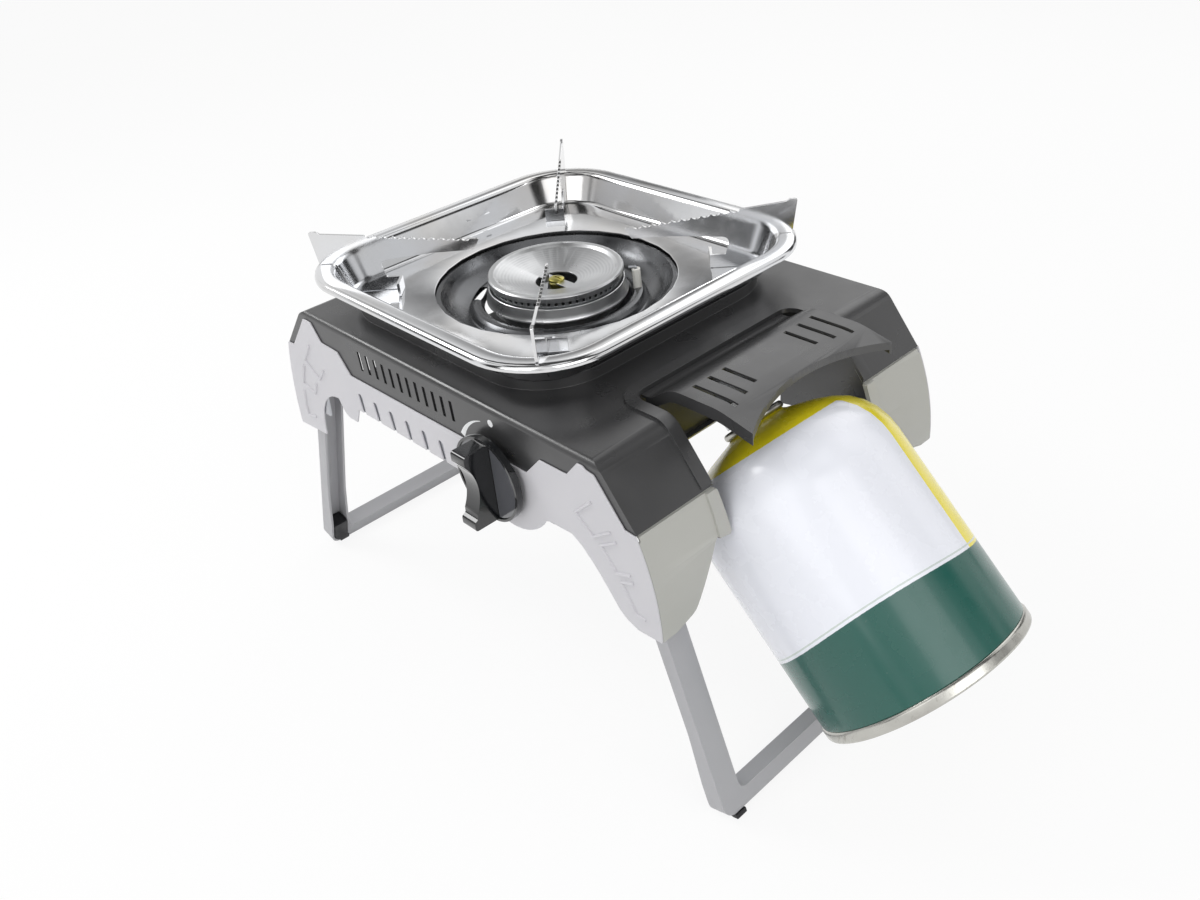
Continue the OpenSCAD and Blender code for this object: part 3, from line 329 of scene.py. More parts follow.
@dataclass(frozen=True)
class Sheen:
    """Polished or plated metal with slow waves, smudges and fine scratches.

    Attributes:
        name: Name of the material.
        colour: Written reflectance.
        tint: Written colour of heat tint or plating clouds.
        roughness: Roughness of the clean polish.
        wave: Depth of the slow waves in metres.
        tinted: Share of the surface with the tint.
    """

    name: str
    colour: str
    tint: str
    roughness: float
    wave: float = 6e-5
    tinted: float = 0.25

    def build(self) -> bpy.types.Material:
        """Builds the material.

        Returns:
            The material.
        """
        g = Graph(self.name)
        cloud = g.noise(22.0, 3.0)
        share = g.ramp(cloud, 0.42, 0.72, 0.0, self.tinted)
        g.feed("Base Color", g.mix(share, to_linear(self.colour), to_linear(self.tint)))
        g.feed("Metallic", 1.0)
        smudge = g.noise(60.0, 5.0, rough=0.65)
        streak = g.add(
            "ShaderNodeMapping",
            {"Vector": g.coords, "Scale": (1.0, 1.0, 24.0), "Rotation": (0.3, 0.2, 0.6)},
        )
        line = g.noise(260.0, 2.0, streak.outputs[0])
        rough = g.ramp(smudge, 0.35, 0.75, self.roughness * 0.8, self.roughness * 1.9)
        g.feed("Roughness", g.math("ADD", rough, g.ramp(line, 0.6, 0.8, 0.0, 0.05)))
        g.feed("Normal", g.bump(line, 1.5e-6, 1.0, g.bump(g.noise(16.0, 1.5), self.wave)))
        return g.material


@dataclass(frozen=True)
class Turned:
    """Turned or spun metal with rings round an upright axis.

    Attributes:
        name: Name of the material.
        colour: Written reflectance.
        dark: Written colour in the grooves.
        roughness: Roughness of the lands.
        rings: Rings per metre.
        depth: Depth of the rings in metres.
    """

    name: str
    colour: str
    dark: str
    roughness: float = 0.24
    rings: float = 900.0
    depth: float = 8e-6

    def build(self) -> bpy.types.Material:
        """Builds the material.

        Returns:
            The material.
        """
        g = Graph(self.name)
        wave = g.add(
            "ShaderNodeTexWave",
            {
                "Vector": g.coords,
                "Scale": self.rings / 6.28,
                "Distortion": 0.6,
                "Detail": 2.0,
                "Detail Scale": 1.5,
            },
            wave_type="RINGS",
            rings_direction="Z",
        ).outputs["Fac"]
        stain = g.noise(70.0, 4.0)
        shade = g.math("MULTIPLY", g.ramp(stain, 0.45, 0.7, 0.1, 0.6), wave)
        g.feed("Base Color", g.mix(shade, to_linear(self.colour), to_linear(self.dark)))
        g.feed("Metallic", 1.0)
        g.feed("Roughness", g.ramp(stain, 0.3, 0.7, self.roughness, self.roughness + 0.14))
        g.feed("Normal", g.bump(wave, self.depth))
        return g.material


@dataclass(frozen=True)
class RoughMetal:
    """Cast, plated or drawn metal with a fine grain.

    Attributes:
        name: Name of the material.
        colour: Written reflectance.
        dark: Written colour of stains and pores.
        roughness: Middle roughness.
        scale: Grains per metre.
        depth: Depth of the grain in metres.
        stretch: How far the grain is drawn out along Z.
    """

    name: str
    colour: str
    dark: str
    roughness: float = 0.42
    scale: float = 900.0
    depth: float = 2e-5
    stretch: float = 1.0

    def build(self) -> bpy.types.Material:
        """Builds the material.

        Returns:
            The material.
        """
        g = Graph(self.name)
        space = g.add("ShaderNodeMapping", {"Vector": g.coords, "Scale": (1.0, 1.0, 1.0 / self.stretch)})
        grain = g.noise(self.scale, 3.0, space.outputs[0])
        cloud = g.noise(35.0, 4.0)
        share = g.math("MAXIMUM", g.ramp(grain, 0.55, 0.75, 0.0, 0.5), g.ramp(cloud, 0.45, 0.75, 0.0, 0.45))
        g.feed("Base Color", g.mix(share, to_linear(self.colour), to_linear(self.dark)))
        g.feed("Metallic", 1.0)
        g.feed("Roughness", g.ramp(cloud, 0.3, 0.7, self.roughness - 0.07, self.roughness + 0.1))
        g.feed("Normal", g.bump(grain, self.depth))
        return g.material


@dataclass(frozen=True)
class Moulded:
    """Moulded plastic, rubber or glazed ceramic.

    Attributes:
        name: Name of the material.
        colour: Written colour.
        pale: Written colour of dust and flow marks.
        roughness: Middle roughness.
        scale: Grain features per metre.
        depth: Depth of the grain in metres.
        coat: Weight of a clear glaze.
    """

    name: str
    colour: str
    pale: str
    roughness: float
    scale: float = 1800.0
    depth: float = 6e-6
    coat: float = 0.0

    def build(self) -> bpy.types.Material:
        """Builds the material.

        Returns:
            The material.
        """
        g = Graph(self.name)
        grain = g.noise(self.scale, 3.0)
        flow = g.noise(38.0, 4.0)
        share = g.ramp(flow, 0.45, 0.8, 0.0, 0.4)
        g.feed("Base Color", g.mix(share, to_linear(self.colour), to_linear(self.pale)))
        rub = g.noise(120.0, 3.0)
        g.feed("Roughness", g.ramp(rub, 0.35, 0.7, self.roughness * 0.8, self.roughness * 1.35))
        if self.depth:
            g.feed("Normal", g.bump(grain, self.depth, 1.0, g.bump(g.noise(60.0, 2.0), self.depth * 4.0)))
        g.feed("Coat Weight", self.coat)
        return g.material


@dataclass(frozen=True)
class PrintedCan:
    """Printed tinplate of the cartridge: plain bands in the can's own coordinates.

    Attributes:
        name: Name of the material.
        white: Written colour of the label.
        shade: Written colour of the label's clouds.
        yellow: Written colour of the shoulder and the strip.
        green: Written colour of the lower band.
        line: Written colour of the rule over the green band.
        bare: Written colour of tin where the print is scuffed.
        green_edge: Middle height of the green band's edge, from the neck, in metres.
        green_swing: How far that edge rises and falls round the can, in metres.
        rule_low: Start of the rule over the green edge, in metres.
        rule_high: End of the rule over the green edge, in metres.
        shoulder_edge: Height where the yellow shoulder starts, in metres.
        strip_start: Angle round the can where the yellow strip starts, in radians.
        strip_end: Angle where it ends, in radians.
    """

    name: str = "printed_tinplate"
    white: str = "F1F3FA"
    shade: str = "E6EAF4"
    yellow: str = "F0DF1E"
    green: str = "1D5A50"
    line: str = "CDD6D2"
    bare: str = "B9BAB4"
    green_edge: float = -0.1012
    green_swing: float = 0.0038
    rule_low: float = 0.0014
    rule_high: float = 0.0022
    shoulder_edge: float = -0.0150
    strip_start: float = 0.35
    strip_end: float = 1.15

    def build(self) -> bpy.types.Material:
        """Builds the material.

        Returns:
            The material.
        """
        g = Graph(self.name)
        turn = Matrix.Rotation(CAN_TILT, 3, "Y")
        local = g.add(
            "ShaderNodeMapping",
            {"Vector": g.coords, "Rotation": (0.0, CAN_TILT, 0.0), "Location": tuple(-(turn @ NECK))},
        )
        axes = g.add("ShaderNodeSeparateXYZ", {0: local.outputs[0]})
        x, y, z = axes.outputs
        angle = g.math("ARCTAN2", y, x)
        height = g.math("ADD", z, g.ramp(g.noise(500.0, 1.0), 0.3, 0.7, -6e-5, 6e-5))
        wave = g.math("COSINE", g.math("MULTIPLY_ADD", angle, 2.0, 1.4))
        crest = g.math("MULTIPLY_ADD", wave, self.green_swing, self.green_edge)
        green = self.below(g, height, crest)
        over_rule = self.below(g, height, g.math("ADD", crest, self.rule_high))
        under_rule = self.below(g, height, g.math("ADD", crest, self.rule_low))
        rule = g.math("SUBTRACT", over_rule, under_rule)
        sag = g.math("MULTIPLY_ADD", g.math("SINE", angle), -0.001, self.shoulder_edge)
        shoulder = g.math("SUBTRACT", 1.0, self.below(g, height, sag))
        past = g.math("SUBTRACT", 1.0, self.above(g, angle, self.strip_end))
        strip = g.math("MULTIPLY", self.above(g, angle, self.strip_start), past)
        cloud = g.ramp(g.noise(9.0, 2.0), 0.3, 0.7, 0.0, 0.25)
        base = g.mix(cloud, to_linear(self.white), to_linear(self.shade))
        tone = g.mix(strip, base, to_linear(self.yellow))
        tone = g.mix(shoulder, tone, to_linear(self.yellow))
        tone = g.mix(rule, tone, to_linear(self.line))
        tone = g.mix(green, tone, to_linear(self.green))
        scuff = g.ramp(g.noise(420.0, 5.0, rough=0.7), 0.66, 0.74, 0.0, 0.35)
        tone = g.mix(g.math("MULTIPLY", scuff, g.edge_wear(0.02)), tone, to_linear(self.bare))
        g.feed("Base Color", tone)
        g.feed("Roughness", g.ramp(g.noise(80.0, 4.0), 0.3, 0.75, 0.2, 0.34))
        g.feed("Normal", g.bump(g.noise(30.0, 2.0), 2e-5))
        g.feed("Coat Weight", 0.35)
        g.feed("Coat Roughness", 0.12)
        return g.material

    @staticmethod
    def above(g: Graph, value: Any, edge: Any) -> Any:
        """A crisp step that is 1 over an edge.

        Args:
            g: The graph.
            value: What is compared.
            edge: Where the step is.

        Returns:
            The step's output.
        """
        return g.math("GREATER_THAN", value, edge)

    @staticmethod
    def below(g: Graph, value: Any, edge: Any) -> Any:
        """A crisp step that is 1 under an edge.

        Args:
            g: The graph.
            value: What is compared.
            edge: Where the step is.

        Returns:
            The step's output.
        """
        return g.math("LESS_THAN", value, edge)


@dataclass(frozen=True)
class PrintInk:
    """Matt screen-printed ink on enamel.

    Attributes:
        name: Name of the material.
        colour: Written colour of the ink.
        thin: Written colour where the ink is thin.
    """

    name: str = "white_screen_ink"
    colour: str = "F2F3F4"
    thin: str = "B8BABD"

    def build(self) -> bpy.types.Material:
        """Builds the material.

        Returns:
            The material.
        """
        g = Graph(self.name)
        share = g.ramp(g.noise(3000.0, 3.0), 0.55, 0.75, 0.0, 0.35)
        g.feed("Base Color", g.mix(share, to_linear(self.colour), to_linear(self.thin)))
        g.feed("Roughness", g.ramp(g.noise(900.0, 2.0), 0.3, 0.7, 0.5, 0.65))
        return g.material


def all_finishes() -> dict[Slot, bpy.types.Material]:
    """Builds one material for every slot.

    Returns:
        Slot to material.
    """
    kinds = {
        Slot.CHARCOAL: PowderCoat("charcoal_powder_coat", "313132", "414142", 0.3, 3e-6, 0.9),
        Slot.GREY: PowderCoat("pale_grey_powder_coat", "C9C8CC", "D2D1D5", 0.42, 2.5e-6),
        # The end panels wear the same pale grey paint as the long panels; this darker, greener copy is
        # painted shade where less light falls on the ends.
        Slot.END: PowderCoat("end_painted_shade_powder_coat", "B2B2AC", "BEBEB9", 0.42, 2.5e-6),
        Slot.LEG: PowderCoat("leg_grey_powder_coat", "A9A9AC", "B8B8BB", 0.38, 3e-6),
        Slot.STAINLESS: Sheen("mirror_stainless_steel", "DFE0E2", "CFC9C0", 0.09, 3e-5, 0.4),
        Slot.BOWL: Sheen("gunmetal_enamelled_steel", "68696B", "4C4D4F", 0.2, 2.5e-5, 0.5),
        Slot.CAST: RoughMetal("die_cast_aluminium", "A5A7A9", "5E5F60"),
        Slot.BRIGHT: Turned("turned_aluminium", "D6D7D8", "B2B3B5", 0.26, 1100.0, 8e-7),
        Slot.ZINC: RoughMetal("zinc_plated_steel", "B6B8BC", "8E9196", 0.34, 420.0, 6e-6),
        Slot.BRASS: Sheen("machined_brass", "B9AE62", "8E9450", 0.24, 2e-5, 0.7),
        Slot.COPPER: Sheen("drawn_copper_tube", "C98A58", "9A5F3C", 0.3, 2e-5, 0.5),
        Slot.CERAMIC: Moulded("glazed_ceramic", "F1F0EA", "D9D6CC", 0.18, 300.0, 6e-6, 0.6),
        Slot.GLOSS: Moulded("gloss_black_abs", "141517", "1C1D20", 0.12, 400.0, 0.0, 0.6),
        Slot.MATTE: Moulded("matt_black_polyamide", "17171A", "2C2C2F", 0.5, 1500.0, 1.2e-5),
        Slot.WHITE: Moulded("white_polyamide", "E6E6E0", "D2D1C8", 0.3),
        Slot.RED: Moulded("red_silicone_sleeve", "A8372B", "7E2A22", 0.5),
        Slot.RUBBER: Moulded("black_nitrile_rubber", "232324", "353536", 0.68, 1600.0, 1.6e-5),
        Slot.PRINTED: PrintedCan(),
        Slot.TINPLATE: RoughMetal("bare_tinplate", "C3C2BC", "8F8B84", 0.28, 700.0, 6e-6, 5.0),
    }
    LOG.info("finishes: %d", len(kinds))
    return {slot: kind.build() for slot, kind in kinds.items()}


# ------------------------------------------------------------------ mesh tools


def emit(mesh: bmesh.types.BMesh, name: str, sharp: float = 32.0) -> bpy.types.Object:
    """Turns a bmesh into a scene object at the origin, smooth but for its sharp edges.

    Args:
        mesh: The mesh, freed here.
        name: Name of the piece.
        sharp: Angle in degrees over which an edge stays sharp.

    Returns:
        The new object.
    """
    data = bpy.data.meshes.new(name)
    bmesh.ops.recalc_face_normals(mesh, faces=mesh.faces)
    mesh.to_mesh(data)
    mesh.free()
    data.polygons.foreach_set("use_smooth", [True] * len(data.polygons))
    data.set_sharp_from_angle(angle=math.radians(sharp))
    piece = bpy.data.objects.new(name, data)
    bpy.context.scene.collection.objects.link(piece)
    return piece


def bridge(mesh: bmesh.types.BMesh, loops: Sequence[Loop], closed: bool, ends: bool = False) -> None:
    """Skins a run of equal loops.

    Args:
        mesh: Where the faces go.
        loops: Loops of points, all of one length.
        closed: True where the last loop joins the first.
        ends: True where the first and the last loop are filled.
    """
    rows = [[mesh.verts.new(p) for p in loop] for loop in loops]
    count = len(rows[0])
    pairs = list(zip(rows, rows[1:])) + ([(rows[-1], rows[0])] if closed else [])
    for low, high in pairs:
        for i in range(count):
            k = (i + 1) % count
            mesh.faces.new((low[i], low[k], high[k], high[i]))
    if ends:
        mesh.faces.new(rows[0][::-1])
        mesh.faces.new(rows[-1])


def soft_square(half: float, radius: float, z: float, corner: int = 14, side: int = 6) -> Loop:
    """A square loop with round corners round the burner axis.

    Args:
        half: Half its width in millimetres.
        radius: Corner radius in millimetres.
        z: Height over the table in millimetres.
        corner: Steps in each corner.
        side: Steps along each side.

    Returns:
        The loop.
    """
    flat = half - radius
    loop: Loop = []
    for quarter in range(4):
        turn = Matrix.Rotation(quarter * math.pi / 2, 3, "Z")
        points = [(half, -flat + 2 * flat * i / side) for i in range(side)]
        points += [
            (flat + radius * math.cos(a), flat + radius * math.sin(a))
            for a in (math.pi / 2 * i / corner for i in range(corner))
        ]
        loop += [turn @ mm(x, y, z) for x, y in points]
    return loop


def round_loop(radius: float, z: float, like: Loop) -> Loop:
    """A circle whose points lie on the same rays as another loop's.

    Args:
        radius: Radius in millimetres.
        z: Height in millimetres.
        like: The other loop.

    Returns:
        The circle.
    """
    return [Vector((p.x, p.y, 0.0)).normalized() * radius * MM + Vector((0.0, 0.0, z * MM)) for p in like]


def ridge(mesh: bmesh.types.BMesh, path: Sequence[Vector], out: Vector, width: float, height: float) -> None:
    """A low round ridge that runs along a path on a surface.

    Args:
        mesh: Where the ridge goes.
        path: Points on the surface.
        out: Direction away from the surface.
        width: Width in millimetres.
        height: Height in millimetres.
    """
    section = [(-0.5, -0.35), (-0.5, 0.0), (-0.3, 0.7), (0.0, 1.0), (0.3, 0.7), (0.5, 0.0), (0.5, -0.35)]
    loops = []
    for i, point in enumerate(path):
        back = (point - path[max(i - 1, 0)]).normalized()
        ahead = (path[min(i + 1, len(path) - 1)] - point).normalized()
        run = (back + ahead).normalized()
        side = run.cross(out).normalized()
        stretch = 1.0
        if back.length and ahead.length:
            half_turn = math.sqrt(max(0.0, (1.0 + back.dot(ahead)) / 2.0))
            stretch = 1.0 / max(0.5, half_turn)
        across, up = side * (width * MM * stretch), out * (height * MM)
        loops.append([point + across * u + up * v for u, v in section])
    bridge(mesh, loops, closed=False, ends=True)


def block(
    mesh: bmesh.types.BMesh,
    outline: Sequence[Vector],
    out: Vector,
    depth: float,
    bevel: float = 0.0,
) -> None:
    """A flat raised shape with a softened edge.

    Args:
        mesh: Where the shape goes.
        outline: Its outline on the surface.
        out: Direction away from the surface.
        depth: Height in millimetres.
        bevel: Width of the softened edge in millimetres.
    """
    low = [mesh.verts.new(p) for p in outline]
    high = [mesh.verts.new(p + out * depth * MM) for p in outline]
    count = len(low)
    for i in range(count):
        k = (i + 1) % count
        mesh.faces.new((low[i], low[k], high[k], high[i]))
    top = mesh.faces.new(high)
    mesh.faces.new(low[::-1])
    if bevel:
        bmesh.ops.bevel(
            mesh,
            geom=list(top.edges),
            offset=bevel * MM,
            offset_type="OFFSET",
            affect="EDGES",
            segments=2,
            profile=0.5,
            material=-1,
        )


Weight = Callable[[bmesh.types.BMEdge], float]


def softened(node: str, width: float, weight: Weight | None = None, segments: int = 2) -> bpy.types.Object:
    """Copies a CAD node, clears its triangulation and rounds its edges.

    Args:
        node: Name of the node.
        width: Largest edge radius in millimetres.
        weight: Share of the width for each edge; all edges alike where there is none.
        segments: Steps in each rounding.

    Returns:
        The copy.
    """
    mesh = bmesh.new()
    mesh.from_mesh(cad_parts[node].data)
    bmesh.ops.remove_doubles(mesh, verts=mesh.verts, dist=MERGE)
    bmesh.ops.dissolve_limit(mesh, angle_limit=math.radians(0.4), verts=mesh.verts, edges=mesh.edges)
    bmesh.ops.recalc_face_normals(mesh, faces=mesh.faces)
    limit = math.radians(24.0)
    if weight is not None:
        layer = mesh.edges.layers.float.new("bevel_weight_edge")
        for edge in mesh.edges:
            bent = len(edge.link_faces) == 2 and edge.calc_face_angle(0.0) > limit
            edge[layer] = weight(edge) if bent else 0.0
    piece = emit(mesh, f"dressed_{node}")
    rounding = piece.modifiers.new("rounding", "BEVEL")
    rounding.width = width * MM
    rounding.segments = segments
    rounding.limit_method = "WEIGHT" if weight is not None else "ANGLE"
    rounding.angle_limit = limit
    rounding.use_clamp_overlap = True
    rounding.harden_normals = False
    return piece


@dataclass
class Workshop:
    """Gives pieces their finish and their body, and hides the CAD nodes that they stand for.

    Attributes:
        finish: Slot to material.
    """

    finish: dict[Slot, bpy.types.Material]

    def dress(self, piece: bpy.types.Object, slot: Slot, body: Body, *stands_for: str) -> bpy.types.Object:
        """Finishes a new piece.

        Args:
            piece: The piece.
            slot: Its material slot.
            body: The body that it rides on.
            *stands_for: CAD nodes that it replaces.

        Returns:
            The piece.
        """
        piece.data.materials.clear()
        piece.data.materials.append(self.finish[slot])
        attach(piece, body.value)
        if stands_for:
            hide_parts(*stands_for)
        LOG.info("piece %s on %s", piece.name, body.value)
        return piece

    def copy(
        self,
        node: str,
        slot: Slot,
        body: Body,
        width: float,
        weight: Weight | None = None,
        segments: int = 2,
    ) -> bpy.types.Object:
        """Replaces a CAD node with its softened copy.

        Args:
            node: Name of the node.
            slot: Its material slot.
            body: The body that it rides on.
            width: Edge radius in millimetres.
            weight: Share of the width for each edge.
            segments: Steps in each rounding.

        Returns:
            The piece.
        """
        return self.dress(softened(node, width, weight, segments), slot, body, node)

    def keep(self, node: str, slot: Slot) -> None:
        """Gives a CAD node that stays visible its finish.

        Args:
            node: Name of the node.
            slot: Its material slot.
        """
        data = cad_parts[node].data
        for i in range(len(data.materials)):
            data.materials[i] = self.finish[slot]
        if not data.materials:
            data.materials.append(self.finish[slot])
        LOG.info("node %s keeps its shape", node)


# ------------------------------------------------------------------ the stove


@dataclass
class Housing:
    """Painted cover, panels, guard and what is printed or pressed into them.

    Attributes:
        shop: Where pieces are finished.
    """

    shop: Workshop

    def build(self) -> None:
        """Builds every piece of the housing."""
        shop = self.shop
        shop.copy("top_cover", Slot.CHARCOAL, Body.STOVE, 1.8, self.cover_edge, 3)
        shop.copy("cartridge_guard", Slot.CHARCOAL, Body.STOVE, 0.5)
        shop.copy("heat_shield", Slot.CHARCOAL, Body.STOVE, 0.3)
        for node in ("front_panel", "back_panel"):
            shop.copy(node, Slot.GREY, Body.STOVE, 0.45)
        # The end panels take the painted-shade copy of the pale grey paint.
        for node in ("left_end_panel", "right_end_panel_front", "right_end_panel_back"):
            shop.copy(node, Slot.END, Body.STOVE, 0.45)
        shop.copy("leg_brackets", Slot.ZINC, Body.STOVE, 0.4)
        shop.copy("base_pan", Slot.ZINC, Body.STOVE, 0.3)
        self.pressed_marks()
        self.legend()

    @staticmethod
    def cover_edge(edge: bmesh.types.BMEdge) -> float:
        """Share of the cover's largest rounding that an edge takes.

        Args:
            edge: The edge.

        Returns:
            1 on the pressed seat, less on the rib round the notch, least on cut edges.
        """
        a, b = (v.co / MM for v in edge.verts)
        low = min(a.z, b.z)
        level = abs(a.z - b.z) < 0.1
        within_seat = max(abs(a.x), abs(b.x), abs(a.y), abs(b.y)) < SEAT_HALF
        past_opening = min(a.xy.length, b.xy.length) > 69.0
        if level and within_seat and past_opening and low > TRAY_Z - SEAT_DROP - 1.3:
            seat_fold = low > TRAY_Z - 1.5 or abs(low - (TRAY_Z - SEAT_DROP)) < 0.3
            return 1.0 if seat_fold else 0.25
        beside_notch = min(abs(a.y), abs(b.y)) < NOTCH_HALF
        if beside_notch and abs(a.x - NOTCH_RIB_X) < 9.0 and low > TRAY_Z - 40.0:
            return 0.45
        return 0.22

    def pressed_marks(self) -> None:
        """Low open bracket shapes that stand off both long panels, three at each end."""
        marks = (
            ((136.0, -28.0), (125.0, -38.5), (135.5, -47.0), (147.0, -39.0)),
            ((150.0, -43.0), (140.0, -49.5), (148.5, -60.5), (157.5, -57.5)),
            ((159.0, -61.0), (151.5, -64.0), (159.0, -78.0), (165.0, -78.5)),
            ((-96.0, -28.0), (-105.5, -40.0), (-93.0, -48.5), (-85.5, -40.5)),
            ((-109.0, -45.0), (-115.5, -59.0), (-103.5, -62.0), (-99.0, -54.0)),
            ((-117.0, -64.5), (-119.5, -74.5), (-119.5, -82.5), (-110.5, -81.0)),
        )
        for name, y, out in (("front", -PANEL_Y, -1.0), ("back", PANEL_Y, 1.0)):
            mesh = bmesh.new()
            for mark in marks:
                path = [mm(x, y, TRAY_Z + z) for x, z in mark]
                ridge(mesh, path, Vector((0.0, out, 0.0)), 1.7, 1.0)
            self.shop.dress(emit(mesh, f"pressed_brackets_{name}"), Slot.GREY, Body.STOVE)

    def legend(self) -> None:
        """The off dot and the growing arc that are printed on the skirt over the knob."""
        mesh = bmesh.new()
        out = Vector((0.0, -1.0, 0.0))
        ink = 0.08
        dot_r, dot_z = 1.9, TRAY_Z - 15.3
        arc_r = 27.0
        dot = [
            mm(KNOB_X + dot_r * math.cos(a), -SKIRT_Y, dot_z + dot_r * math.sin(a))
            for a in (math.tau * i / 24 for i in range(24))
        ]
        block(mesh, dot, out, ink)
        steps = 28
        inner, outer = [], []
        for i in range(steps + 1):
            a = math.radians(107.0 + 47.0 * i / steps)
            thick = 0.35 + 2.9 * (i / steps) ** 1.2
            for line, r in ((inner, arc_r - thick / 2), (outer, arc_r + thick / 2)):
                line.append(mm(KNOB_X + r * math.cos(a), -SKIRT_Y, KNOB_Z + r * math.sin(a)))
        block(mesh, outer + inner[::-1], out, ink)
        piece = emit(mesh, "knob_scale_print")
        self.shop.dress(piece, Slot.GREY, Body.STOVE)
        piece.data.materials[0] = PrintInk().build()


@dataclass
class TrayAndSupports:
    """Pressed drip tray and its four blades.

    Attributes:
        shop: Where pieces are finished.
    """

    shop: Workshop

    def build(self) -> None:
        """Builds the tray and its blades."""
        self.tray()
        self.wall_tabs()
        for i in range(1, 5):
            self.shop.copy(f"pan_support_{i}", Slot.STAINLESS, Body.TRAY, 0.3)

    def tray(self) -> None:
        """One pressed sheet: floor, sloping walls, flat rim and turned-down edge.

        Each entry is half the width, the corner radius and the height over the tray's floor.
        """
        face = (
            (84.5, 23.5, 0.0), (86.4, 25.4, 0.12), (87.7, 26.7, 0.7), (88.4, 27.4, 1.9), (93.6, 32.6, 14.6),
            (94.4, 33.4, 16.2), (95.6, 34.6, 17.1), (97.2, 36.2, 17.4), (101.6, 40.6, 17.4),
            (103.4, 42.4, 17.1), (104.6, 43.6, 16.2), (105.0, 44.0, 14.9), (105.0, 44.0, 13.9),
        )
        back = (
            (104.25, 43.25, 13.9), (104.25, 43.25, 14.9), (103.9, 42.9, 15.8), (103.0, 42.0, 16.45),
            (101.6, 40.6, 16.6), (97.4, 36.4, 16.6), (96.1, 35.1, 16.4), (95.2, 34.2, 15.8),
            (94.4, 33.4, 14.3), (89.2, 28.2, 1.6), (88.3, 27.3, 0.1), (86.7, 25.7, -0.66), (84.5, 23.5, -0.8),
        )
        loops = [soft_square(h, r, TRAY_Z + z) for h, r, z in face + back]
        hole = [round_loop(67.1, TRAY_Z - 0.8, loops[0]), round_loop(66.6, TRAY_Z - 0.6, loops[0])]
        hole += [round_loop(66.6, TRAY_Z - 0.2, loops[0]), round_loop(67.1, TRAY_Z, loops[0])]
        mesh = bmesh.new()
        bridge(mesh, loops + hole, closed=True)
        self.shop.dress(emit(mesh, "pressed_tray", 40.0), Slot.STAINLESS, Body.TRAY, "drip_tray")

    def wall_tabs(self) -> None:
        """Two small bent tabs on the outside of the tray's wall, at both ends."""
        mesh = bmesh.new()
        up = Vector((0.0, 0.0, 1.0))
        wall_x, tip_x, height = 90.6, 95.2, TRAY_Z + 8.2
        tab = ((wall_x, 0.0), (tip_x, 0.4), (tip_x, 3.0), (wall_x, 3.4))
        for side in (-1.0, 1.0):
            for y in (10.0, 24.0):
                block(mesh, [mm(side * x, y + w, height) for x, w in tab], up, 0.8, 0.2)
        self.shop.dress(emit(mesh, "tray_wall_tabs"), Slot.STAINLESS, Body.TRAY)


@dataclass
class Burner:
    """Bowl, burner head and igniter.

    Attributes:
        shop: Where pieces are finished.
    """

    shop: Workshop

    def build(self) -> None:
        """Builds the burner's visible pieces and finishes its hidden ones."""
        shop = self.shop
        shop.copy("burner_bowl", Slot.BOWL, Body.STOVE, 0.35)
        shop.copy("burner_collar", Slot.BRIGHT, Body.STOVE, 0.3)
        shop.copy("port_ring", Slot.CAST, Body.STOVE, 0.15)
        shop.copy("burner_cap", Slot.BRIGHT, Body.STOVE, 0.35)
        shop.copy("cap_screw", Slot.BRASS, Body.STOVE, 0.25)
        shop.copy("bowl_clips", Slot.ZINC, Body.STOVE, 0.3)
        shop.copy("spark_electrode", Slot.CERAMIC, Body.STOVE, 0.35)
        shop.copy("electrode_pin", Slot.ZINC, Body.STOVE, 0.2)
        for node, slot in (
            ("burner_mount", Slot.ZINC),
            ("burner_body", Slot.CAST),
            ("mixing_tube", Slot.CAST),
            ("gas_jet", Slot.BRASS),
            ("electrode_lead", Slot.RED),
            ("piezo_igniter", Slot.WHITE),
        ):
            shop.keep(node, slot)


@dataclass
class GasLine:
    """Knob, tap, pipe and cartridge adapter.

    Attributes:
        shop: Where pieces are finished.
    """

    shop: Workshop

    def spring(self) -> None:
        """The knob's return spring, which shortens towards the tap as the knob is pushed."""
        mesh = bmesh.new()
        mesh.from_mesh(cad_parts["knob_spring"].data)
        piece = self.shop.dress(emit(mesh, "dressed_knob_spring"), Slot.ZINC, Body.STOVE, "knob_spring")
        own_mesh(piece)

    def knob_face(self) -> None:
        """A thin glossy disc over the floor of the knob's dish on both sides of its grip, mid grey as a
        painted reflection of the bright floor on the black knob.
        """
        mesh = bmesh.new()
        out = Vector((0.0, -1.0, 0.0))
        steps = 24
        film = 0.15
        start = math.acos(KNOB_GRIP_HALF / KNOB_DISH_R)
        turns = [start * (2.0 * i / steps - 1.0) for i in range(steps + 1)]
        rim = [(KNOB_DISH_R * math.cos(a), KNOB_DISH_R * math.sin(a)) for a in turns]
        for side in (-1.0, 1.0):
            half = [mm(KNOB_X + side * x, -KNOB_DISH_Y, KNOB_Z + z) for x, z in rim]
            block(mesh, half, out, film)
        piece = self.shop.dress(emit(mesh, "knob_face"), Slot.GLOSS, Body.KNOB)
        # Mid grey instead of the knob's black: painted reflection of the bright floor in the dish.
        painted_reflection = Moulded("knob_face_lacquer", "55565B", "5D5E63", 0.1, 400.0, 0.0, 0.8)
        piece.data.materials[0] = painted_reflection.build()

    def build(self) -> None:
        """Builds the knob and finishes the gas line."""
        shop = self.shop
        shop.copy("knob", Slot.GLOSS, Body.KNOB, 0.35)
        self.knob_face()
        self.spring()
        shop.copy("adapter_nut", Slot.BRIGHT, Body.STOVE, 0.5)
        shop.copy("cartridge_adapter", Slot.CAST, Body.STOVE, 0.6)
        shop.copy("base_screws", Slot.ZINC, Body.STOVE, 0.4)
        for node, slot in (
            ("tap_bracket", Slot.ZINC),
            ("tap_body", Slot.CAST),
            ("tap_spindle", Slot.BRASS),
            ("spindle_collar", Slot.ZINC),
            ("gas_pipe", Slot.COPPER),
            ("pipe_nuts", Slot.BRASS),
            ("seal_washer", Slot.RUBBER),
        ):
            shop.keep(node, slot)


